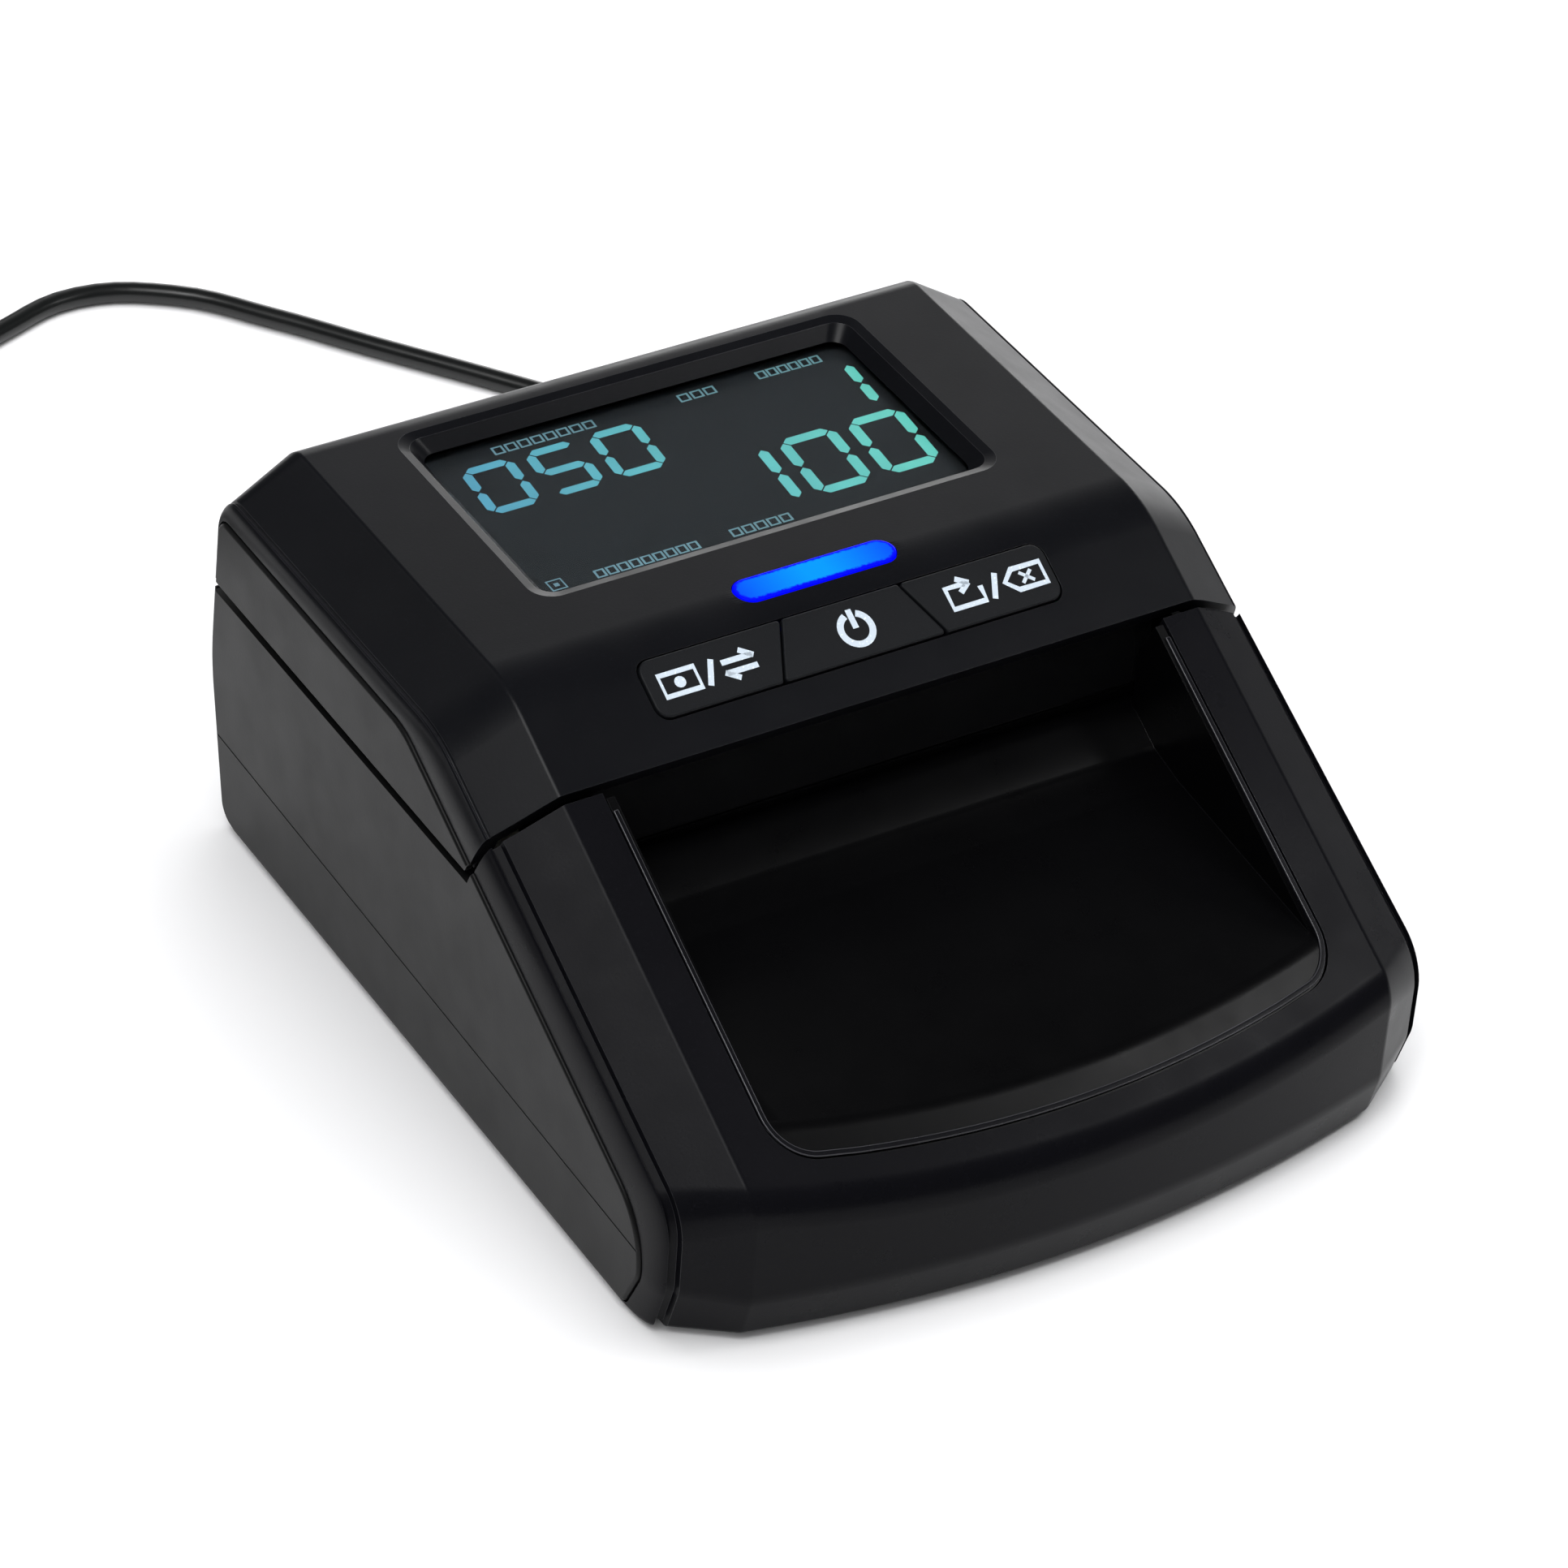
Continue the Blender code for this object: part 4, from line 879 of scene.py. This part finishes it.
def make_lid_shell():
    """The lid, with hinge lugs and posts inside, and openings for the display, light bar and keys."""
    cavity = casing_cavity()
    for side in SIDES:
        cut(cavity, box(mirrored(side, LUG_X), (HINGE.y - LUG_REACH, REAR), LUG_Z))
        for y in POST_Y:
            cut(cavity, rod("Z", side * POST_X, y, POST_R, high("upper_guide").z, TOP_Z))
    stations = (0, 14, 29.5, 32, 34, 37, 42)
    shell = keep(cut(casing_block(stations, LID_GROOVE), cavity), lid_region())
    for side in SIDES:
        cut(shell, panel_seat(side))
        cut(shell, rod("X", HINGE.y, HINGE.z, PIN_BORE_R, *mirrored(side, PIN_BORE_X)))
    cut(shell, display_recess())
    through_top = (50, 70)
    cut(shell, prism("Z", capsule(0, LIGHT_Y, LIGHT_HALF + LIGHT_GAP, LIGHT_R + LIGHT_GAP), *through_top))
    row = rounded_rect(-KEY_ROW_X - FINE_GAP, KEY_ROW_X + FINE_GAP, KEY_LOW_Y - FINE_GAP,
                       KEY_TOP_Y + FINE_GAP, 2, 10)
    cut(shell, loft([slope_ring(row, proud) for proud in (-6, 4)]))
    piece(shell, "lid_casing", "lid", "lid", "casing_black", "lid_shell", bevel=0.15, angle=12)


def make_side_panels():
    """The plates let into both sides; a shallow crease runs along the base's."""
    outer_x = FLANK_X + PANEL_PROUD
    for side, label in NAMED_SIDES:
        for part, body in (("base", "casing"), ("lid", "lid")):
            panel = side_plate(side, 2 * GAP, SIDE_PANEL_X + GAP, outer_x, 0.5)
            if part == "base":
                cut(panel, lid_region(-FRONT_GAP, BASE_SEAM_Z))
                crease = [Vector(corner) for corner in CREASE]
                cut(panel, prism("X", crease, *mirrored(side, (outer_x - CREASE_DEEP, outer_x + 2))))
            else:
                keep(panel, lid_region())
            name = f"{part}_side_plate_{label}"
            node = f"{part}_side_panel_{label}"
            piece(panel, name, "panel", body, "panel_black", node, bevel=0.12, angle=50)


def tray_section(x):
    """The tray floor's side view at one x: a ramp to the slot, a shallow floor and a lip along the chin."""
    crest = slope_point(lip_y(x) + LIP_BAND, -LIP_DROP)
    end = Vector((crest.x - LIP_RUN, crest.y - SLOPE * LIP_RUN - LIP_FALL))
    line = [*TRAY_FLOOR[:4], crest, end]
    top = [Vector(p) for p in line[:2]]
    for i, (radius, steps) in enumerate(TRAY_ROUNDS, 2):
        top += fillet(line[i - 1], line[i], line[i + 1], radius, steps)
    top.append(end)
    under = [p - Vector((0, FLOOR_THICK)) for p in reversed(top)]
    return [Vector(place("X", p, x)) for p in top + under]


def make_note_tray():
    """The dark channel in front of the slot: a floor that falls over the lip between two walls."""
    half = OPENING_X - GAP
    tray = loft([tray_section(half * i / 14) for i in range(-14, 15)])
    end = Vector(TRAY_FLOOR[-1])
    y, z = LID_FRONT
    reach = -FRONT_GAP - 0.2
    rim = Vector((y + reach, z + SLOPE * reach - TRAY_SINK))
    back_y = SLOT_FACE_Y - 0.4
    heel = Vector((back_y, z - (back_y - y - reach) / SEAM_LEAN))
    low_front = Vector((end.x - 3, end.y - 3 * SLOPE - TRAY_SKIN))
    floor_line = [Vector(p) - Vector((0, TRAY_SKIN)) for p in reversed(TRAY_FLOOR) if p[0] < back_y]
    wall = [rim, low_front, *floor_line, Vector((back_y, floor_line[-1].y + 1.0)), heel]
    for side in SIDES:
        join(tray, prism("X", wall, *mirrored(side, (half - TRAY_WALL, half))))
    keep(tray, prism("Z", tray_plan(GAP), 0, TOP_Z))
    piece(tray, "tray_channel", "tray", "casing", "tray_black", "note_tray", bevel=0.25)
    make_tray_rim()


def make_tray_rim():
    """The channel's raised rim, which shows as a fine double line inside the casing's opening."""
    wide = 0.75
    inset = GAP + wide / 2
    rear_y = LID_FRONT[0] - FRONT_GAP - 2.0
    curve = [p for p in tray_plan(inset) if p.y < rear_y]
    path = [Vector((inset - OPENING_X, rear_y)), *curve, Vector((OPENING_X - inset, rear_y))]
    bm = bmesh.new()
    ribbon(bm, path, wide, -1.0, 0.06, lambda x, y, rise: (x, *slope_point(y, rise)))
    piece(new_object(bm), "tray_rim", "casing", "casing", "tray_black", bevel=0.15)


# ---- keys, light bar and display


def key_plans():
    """The three keys: the power key widens downwards, and its neighbours fill the row's ends."""
    split = FINE_GAP / 2
    end, inner = 1.8, 0.45
    left = [(-KEY_ROW_X, KEY_LOW_Y, end), (-KEY_SPLIT_LOW - split, KEY_LOW_Y, inner),
            (-KEY_SPLIT_TOP - split, KEY_TOP_Y, inner), (-KEY_ROW_X, KEY_TOP_Y, end)]
    low_x, top_x = KEY_SPLIT_LOW - split, KEY_SPLIT_TOP - split
    power = [(-low_x, KEY_LOW_Y, inner), (low_x, KEY_LOW_Y, inner), (top_x, KEY_TOP_Y, inner),
             (-top_x, KEY_TOP_Y, inner)]
    right = [(-x, y, r) for x, y, r in reversed(left)]
    return {"left": left, "power": power, "right": right}


def make_keys():
    for name, plan in key_plans().items():
        points = outline(plan, 6)
        sides = [(0, -KEY_DEEP), (0, KEY_PROUD - 0.30), (-0.10, KEY_PROUD - 0.09), (-0.30, KEY_PROUD)]
        key = loft([slope_ring(grown(points, inset), proud) for inset, proud in sides])
        piece(key, f"{name}_key", "key", f"key_{name}", "key_black", f"key_{name}", angle=50)


def ribbon(bm, path, width, start, end, lay, closed=False):
    """Adds a line along a 2-D path, between two heights; lay turns (x, y, height) into a point."""
    path = [Vector(p) for p in path]
    last = len(path) - 1
    rings = []
    for i, point in enumerate(path):
        ahead = path[(i + 1) % len(path)] if closed or i < last else point
        behind = path[i - 1] if closed or i > 0 else point
        along = (ahead - behind).normalized()
        side = Vector((-along.y, along.x)) * width / 2
        left, right = point + side, point - side
        rings.append([lay(*left, start), lay(*right, start), lay(*right, end), lay(*left, end)])
    add_loft(bm, rings, closed)


def arc(x, y, radius, start, end, steps=28):
    """Points of an arc between two angles in degrees."""
    return [polar(x, y, radius, math.radians(start + (end - start) * i / steps)) for i in range(steps + 1)]


def on_key(x, y, rise):
    """Key prints are drawn level; y runs up the slope from the middle of the row."""
    middle = (KEY_TOP_Y + KEY_LOW_Y) / 2
    point = slope_point(middle + y * math.cos(SLOPE_ANGLE), KEY_PROUD + rise)
    return (x, point.x, point.y)


def print_key(name, lines):
    """One key's printed mark, made of several lines: (path, width, closed)."""
    bm = bmesh.new()
    for path, width, closed in lines:
        ribbon(bm, path, width, *PRINT_RISE, on_key, closed)
    piece(new_object(bm), f"key_{name}_mark", "ink", f"key_{name}", "key_black", angle=60)


def make_key_prints():
    """Generic pictures: power; note, slash and swap; loop, slash and clear."""
    pen = 0.80
    low_y, high_y = -1.55, 1.55

    def open_line(*points):
        return (points, pen, False)

    def slash(x):
        return open_line((x - 0.75, low_y - 0.2), (x + 0.75, high_y + 0.2))

    x, y = 0.45, -0.1
    ring = (arc(x, y, 2.25, 111, 429), 0.95, False)
    bar = ([(x, y + 0.1), (x, y + 2.9)], 0.85, False)
    print_key("power", [ring, bar])

    x = -29.0
    edge = [(x + 0.3, low_y), (x + 5.6, low_y), (x + 5.6, high_y), (x + 0.3, high_y)]
    note = [(edge, pen, True), (arc(x + 2.95, 0, 0.42, 0, 330, 12), pen, True)]
    swap = [open_line((x + 9.4, 0.8), (x + 14.0, 0.8)), open_line((x + 12.4, 1.9), (x + 14.2, 0.65)),
            open_line((x + 9.6, -0.8), (x + 14.2, -0.8)), open_line((x + 11.2, -1.9), (x + 9.4, -0.65))]
    print_key("left", [*note, slash(x + 7.5), *swap])

    x = 14.4
    loop = [open_line((x + 3.4, high_y), (x + 0.4, high_y), (x + 0.4, low_y), (x + 5.4, low_y),
                      (x + 5.4, high_y - 0.9)),
            open_line((x + 2.4, high_y + 1.0), (x + 4.1, high_y - 0.05)),
            open_line((x + 4.0, high_y + 0.05), (x + 2.4, high_y - 1.1))]
    tag = [(x + 9.0, 0), (x + 10.6, low_y), (x + 15.0, low_y), (x + 15.0, high_y), (x + 10.6, high_y)]
    clear = [(tag, pen, True), ([(x + 11.5, -0.8), (x + 13.3, 0.8)], 0.5, False),
             ([(x + 11.5, 0.8), (x + 13.3, -0.8)], 0.5, False)]
    print_key("right", [*loop, slash(x + 7.4), *clear])


def top_height(y):
    """The lid's top beside the light bar, which lies where the top starts to curve down."""
    return TOP_Z - max(0.0, TOP_BEND_Y - y) ** 2 / (2 * TOP_BEND_R)


def make_light_bar():
    rings = []
    for inset, rise in ((0, -5.0), (0, 0.0), (0.10, 0.10), (0.35, 0.16)):
        plan = capsule(0, LIGHT_Y, LIGHT_HALF - inset, LIGHT_R - inset)
        rings.append([(p.x, p.y, top_height(p.y) + rise) for p in plan])
    piece(loft(rings), "light_lens", "lens", "lid", "light_blue", "light_bar", angle=60)


def on_panel(x, y, rise):
    return (x, y, PANEL_TOP + rise)


def add_digit(bm, digit, left, base, wide, tall, pen):
    """Adds one leaning seven-segment digit; its bars are hexagons with a small gap at each joint."""
    half = pen / 2
    joint_gap, lean = 0.16, 0.08
    for name in DIGITS[digit]:
        u0, v0, u1, v1 = SEGMENTS[name]
        start, end = (Vector((left + half + u * (wide - pen), base + half + v * (tall - pen)))
                      for u, v in ((u0, v0), (u1, v1)))
        along = (end - start).normalized()
        side = Vector((-along.y, along.x))
        start, end = start + along * joint_gap, end - along * joint_gap
        shape = [start, start + (along + side) * half, end + (side - along) * half, end,
                 end - (along + side) * half, start + (along - side) * half]
        leaning = [Vector((p.x + (p.y - base) * lean, p.y)) for p in shape]
        add_loft(bm, [[on_panel(p.x, p.y, rise) for p in leaning] for rise in (-0.05, 0.03)])


def make_digits():
    """Three digits at the top left, one at the top right and three larger ones below it."""
    rows = [("050", -29.5, 9.75, 43.0, 7.9, 11.0, 1.4), ("100", 1.45, 10.8, 27.9, 8.9, 13.6, 1.6),
            ("1", 24.0, 0, 43.0, 7.7, 11.0, 1.5)]
    bm = bmesh.new()
    for digits, left, pitch, *measures in rows:
        for i, digit in enumerate(digits):
            add_digit(bm, digit, left + pitch * i, *measures)
    piece(new_object(bm), "display_digits", "digit", "lid", "display_grey", angle=60)


def make_legends():
    """Rows of small open cells, (left, base, width, cells), stand where the display has its captions."""
    rows = [(-22.1, 55.3, 16.0, 8), (6.8, 55.3, 6.1, 3), (19.3, 55.5, 10.4, 6), (-23.6, 24.6, 16.0, 9),
            (-2.8, 24.8, 9.6, 5)]
    bm = bmesh.new()
    tall = 1.5
    for left, base, wide, count in rows:
        pitch = wide / count
        for i in range(count):
            x = left + pitch * i
            end = x + pitch * 0.7
            cell = [(x, base), (end, base), (end + 0.1, base + tall), (x + 0.1, base + tall)]
            ribbon(bm, cell, 0.40, *PRINT_RISE, on_panel, closed=True)
    icon = [(-30.4, 24.6), (-28.3, 24.6), (-28.3, 26.7), (-30.4, 26.7)]
    ribbon(bm, icon, 0.3, *PRINT_RISE, on_panel, closed=True)
    ribbon(bm, [(-29.7, 25.65), (-29.0, 25.65)], 0.7, *PRINT_RISE, on_panel)
    piece(new_object(bm), "display_captions", "legend", "lid", "display_grey", angle=60)


# ---- lead's ends and tie


def ribs(start, end, count, first_radius, last_radius, depth):
    """Turned steps of evenly spaced ribs on a taper."""
    pitch = (end - start) / count
    steps = []
    for i in range(count):
        at = start + pitch * i
        radius = first_radius + (last_radius - first_radius) * i / (count - 1)
        steps += [(at, radius - depth), (at + 0.35 * pitch, radius - depth), (at + 0.45 * pitch, radius),
                  (at + 0.90 * pitch, radius)]
    return steps


def make_plug():
    """The barrel plug: a ribbed grip, then a slotted boot that tapers to the lead."""
    face = REAR + 0.6
    tip, end = low("power_plug").y, high("power_plug").y
    profile = [(tip, 2.5), (tip + 0.3, 2.75), (face, 2.75), (face, 4.2), (face + 0.5, 4.65),
               (face + 2.0, 4.78)]
    profile += ribs(face + 2.6, face + 12.6, 8, 4.78, 4.62, 0.30)
    profile += [(face + 13.6, 4.55), (face + 14.6, 4.1), (face + 15.4, 3.3)]
    profile += ribs(face + 15.8, end - 0.6, 7, 3.15, 2.2, 0.45)
    profile += [(end - 0.4, 1.75), (end, 1.7)]
    plug = turned("Y", JACK_X, JACK_Z, profile, 40)
    piece(plug, "lead_plug", "cord", "casing", "cord_black", "power_plug", angle=35)


def adapter_case(middle_x, half_x, face_y, back_y, floor_z, top_z, seam_z):
    """The adapter's soft-edged case, with a fine seam round it and a blank recess on top."""
    edge = 1.8
    turns = [math.pi / 8 * i for i in range(5)]
    foot = [(edge * (1 - math.sin(turn)), floor_z + edge * (1 - math.cos(turn))) for turn in turns]
    seam = [(0, seam_z - 0.25), (0.35, seam_z - 0.2), (0.35, seam_z + 0.2), (0, seam_z + 0.25)]
    crown = [(inset, floor_z + top_z - z) for inset, z in reversed(foot)]
    sections = []
    for inset, z in foot + seam + crown:
        plan = rounded_rect(middle_x - half_x + inset, middle_x + half_x - inset,
                            face_y + inset, back_y - inset, 5)
        sections.append([place("Z", p, z) for p in plan])
    blank = rounded_rect(middle_x - 15, middle_x + 15, face_y + 14, back_y - 14, 2)
    return cut(loft(sections), prism("Z", blank, top_z - 0.35, top_z + 2))


def make_adapter():
    """The wall adapter: its case, a slotted boot where the lead goes in, and two flat blades with holes."""
    first, last = low("wall_adapter"), high("wall_adapter")
    middle_x = (first.x + last.x) / 2
    z = TAIL_ROUTE[-1][2]
    face_y, back_y = first.y + BLADE_LONG, last.y - BOOT_LONG
    case = adapter_case(middle_x, (last.x - first.x) / 2, face_y, back_y, first.z, last.z, z + 1.2)
    piece(case, "adapter_case", "adapter", "casing", "cord_black", "wall_adapter", bevel=0.15)
    boot_steps = [(back_y - 1.5, 3.7), (back_y + 1.0, 3.7)]
    boot_steps += ribs(back_y + 1.4, last.y - 0.8, 6, 3.5, 2.3, 0.45) + [(last.y - 0.6, 1.8), (last.y, 1.7)]
    boot = turned("Y", middle_x, z, boot_steps, 36)
    piece(boot, "adapter_boot", "cord", "casing", "cord_black", angle=35)
    for side, label in NAMED_SIDES:
        x = middle_x + side * BLADE_SPREAD
        blade = box((x - BLADE_HALF_X, x + BLADE_HALF_X), (first.y, face_y + 1),
                    (z - BLADE_HALF_Z, z + BLADE_HALF_Z))
        cut(blade, rod("X", first.y + BLADE_HOLE_Y, z, BLADE_HOLE_R, x - 2, x + 2, 20))
        piece(blade, f"adapter_blade_{label}", "steel", "casing", "steel", bevel=0.3)


def make_coil_tie():
    """A rubber strap round the wound lead."""
    turn = math.radians(TIE_ANGLE)
    outward = Vector((math.cos(turn), math.sin(turn)))
    along = Vector((-outward.y, outward.x))

    def lay(u, v, across):
        spot = Vector(COIL_CENTRE) + outward * u + along * across
        return (spot.x, spot.y, v)

    bm = bmesh.new()
    strap = rounded_rect(11.4, 28.4, 0.35, 6.65, 1.6, 5)
    ribbon(bm, strap, 0.55, -2.4, 2.4, lay, closed=True)
    keeper = rounded_rect(16.5, 21.5, 6.6, 7.4, 0.3, 3)
    add_loft(bm, [[lay(p.x, p.y, across) for p in keeper] for across in (-3.0, 3.0)])
    piece(new_object(bm), "coil_tie", "rubber", "casing", "rubber_black", bevel=0.12, angle=50)


# ---- circuit boards


def add_block(bm, x, y, wide, long, z, tall, radius=0.3):
    """Adds a chip's or connector's body with rounded corners."""
    plan = rounded_rect(x - wide / 2, x + wide / 2, y - long / 2, y + long / 2, radius, 3)
    steps = [(0, z), (0, z + tall - 0.2), (-0.2, z + tall)]
    add_loft(bm, [[place("Z", p, at) for p in grown(plan, inset)] for inset, at in steps])


def add_can(bm, x, y, radius, z, tall):
    """Adds an upright capacitor."""
    steps = [(radius, z), (radius, z + 0.8), (radius - 0.25, z + 1.0), (radius, z + 1.2),
             (radius, z + tall - 0.3), (radius - 0.3, z + tall)]
    add_loft(bm, [[place("Z", p, at) for p in circle(x, y, r, 24)] for r, at in steps])


def add_chip(chips, legs, x, y, wide, long, z):
    """Adds a flat chip with a row of bent legs on both sides."""
    pitch = 1.27
    add_block(chips, x, y, wide, long, z + 1.18, 0.5)
    count = int(long / pitch)
    for i in range(count):
        leg_y = y + (i - (count - 1) / 2) * pitch
        for side in SIDES:
            add_block(legs, x + side * (wide / 2 + 0.6), leg_y, 1.4, 0.45, z - 0.02, 0.35, 0.08)


def add_socket(chips, legs, x, y, wide, long, z):
    """Adds a connector with a row of contacts on top."""
    tall, pitch = 5.5, 2.5
    add_block(chips, x, y, wide, long, z, tall, 0.6)
    for i in range(int(wide / pitch)):
        add_block(legs, x - wide / 2 + 1.6 + pitch * i, y, 0.7, 0.7, z + tall - 0.3, 0.5, 0.1)


def make_main_board_parts():
    """Chips, connectors, capacitors and a row of small parts, on the main board's bare top."""
    top = 5.0
    chips, legs, cans = bmesh.new(), bmesh.new(), bmesh.new()
    for spot in ((22, 10, 12, 12), (10, 38, 9, 6), (28, 34, 6, 9)):
        add_chip(chips, legs, *spot, top)
    for spot in ((-30, 46, 14, 6), (-10, 50, 10, 5), (36, 49, 8, 9)):
        add_socket(chips, legs, *spot, top)
    for x, y, radius, tall in ((8, 4, 3.1, 7.5), (33, 22, 2.5, 6), (38, 5, 2.5, 6), (0, 26, 2.0, 5),
                               (18, 48, 3.1, 8)):
        add_can(cans, x, y, radius, top, tall)
    for i in range(9):
        add_block(legs, -6 + 4.4 * i, 18.5, 1.6, 0.8, top - 0.02, 0.6, 0.1)
    piece(new_object(chips), "main_board_chips", "sensor", "casing", "sensor_black")
    piece(new_object(legs), "main_board_legs", "steel", "casing", "steel")
    piece(new_object(cans), "main_board_cans", "tin", "casing", "steel")


def make_display_board_parts():
    """Two chips and a row of pins under the display board."""
    under = low("display_board").z
    chips, legs = bmesh.new(), bmesh.new()
    add_block(chips, 0, 30, 14, 14, under - 0.9, 1.0)
    add_block(chips, -24, 26, 7, 5, under - 0.9, 1.0)
    for x in range(-30, 31, 3):
        add_block(legs, x, 55.5, 0.9, 0.9, under - 0.5, 0.6, 0.15)
    piece(new_object(chips), "display_board_chips", "sensor", "lid", "sensor_black")
    piece(new_object(legs), "display_board_pins", "steel", "lid", "steel")


# ---- carried-over nodes


def carry(node, finish, bevel):
    """Keeps a CAD node as it is and gives it a finished material and rounded edges."""
    obj = frame["nodes"][node]
    dress(obj, finish)
    smooth(obj, 32, bevel)


def carry_mechanism():
    """Dresses every CAD node that stays in the scene."""
    for node, finish, bevel in (
            ("bottom_cover", "panel", 0.2), ("lower_guide", "guide", 0.15), ("upper_guide", "guide", 0.2),
            ("drive_motor", "tin", 0.2), ("motor_pinion", "brass", 0.08), ("idler_gear", "gear", 0.08),
            ("main_board", "board", 0.1), ("display_board", "board", 0.1), ("key_board", "board", 0.1),
            ("lower_sensor_bar", "sensor", 0.2), ("upper_sensor_bar", "sensor", 0.2),
            ("magnetic_head", "steel", 0.3), ("power_jack", "sensor", 0.2),
            ("display_window", "glass", 0.1), ("display_panel", "lcd", 0.1)):
        carry(node, finish, bevel)
    for side in ("left", "right"):
        carry(f"hinge_arm_{side}", "steel", 0.12)
        carry(f"hinge_pin_{side}", "shaft", 0.12)
        for end in ("front", "rear"):
            carry(f"bottom_screw_{side}_{end}", "shaft", 0.08)
            carry(f"rubber_foot_{side}_{end}", "rubber", 0.2)
            carry(f"{end}_drive_roller_{side}", "roller", 0.3)
            carry(f"{end}_pinch_roller_{side}", "roller", 0.2)
    for end in ("front", "rear"):
        carry(f"{end}_drive_shaft", "shaft", 0.2)
        carry(f"{end}_drive_gear", "gear", 0.08)
        carry(f"{end}_pinch_axle", "shaft", 0.15)


# ---- build


def main():
    build_materials()
    make_camera()
    make_lights()
    make_floor()
    lead = make_cord()
    make_plug()
    make_adapter()
    make_coil_tie()
    [c * MM for c in CORD_ROUTE[0]]
    make_base_shell()
    make_lid_shell()
    make_side_panels()
    make_note_tray()
    make_keys()
    make_key_prints()
    make_light_bar()
    make_digits()
    make_legends()
    make_main_board_parts()
    make_display_board_parts()
    carry_mechanism()


main()
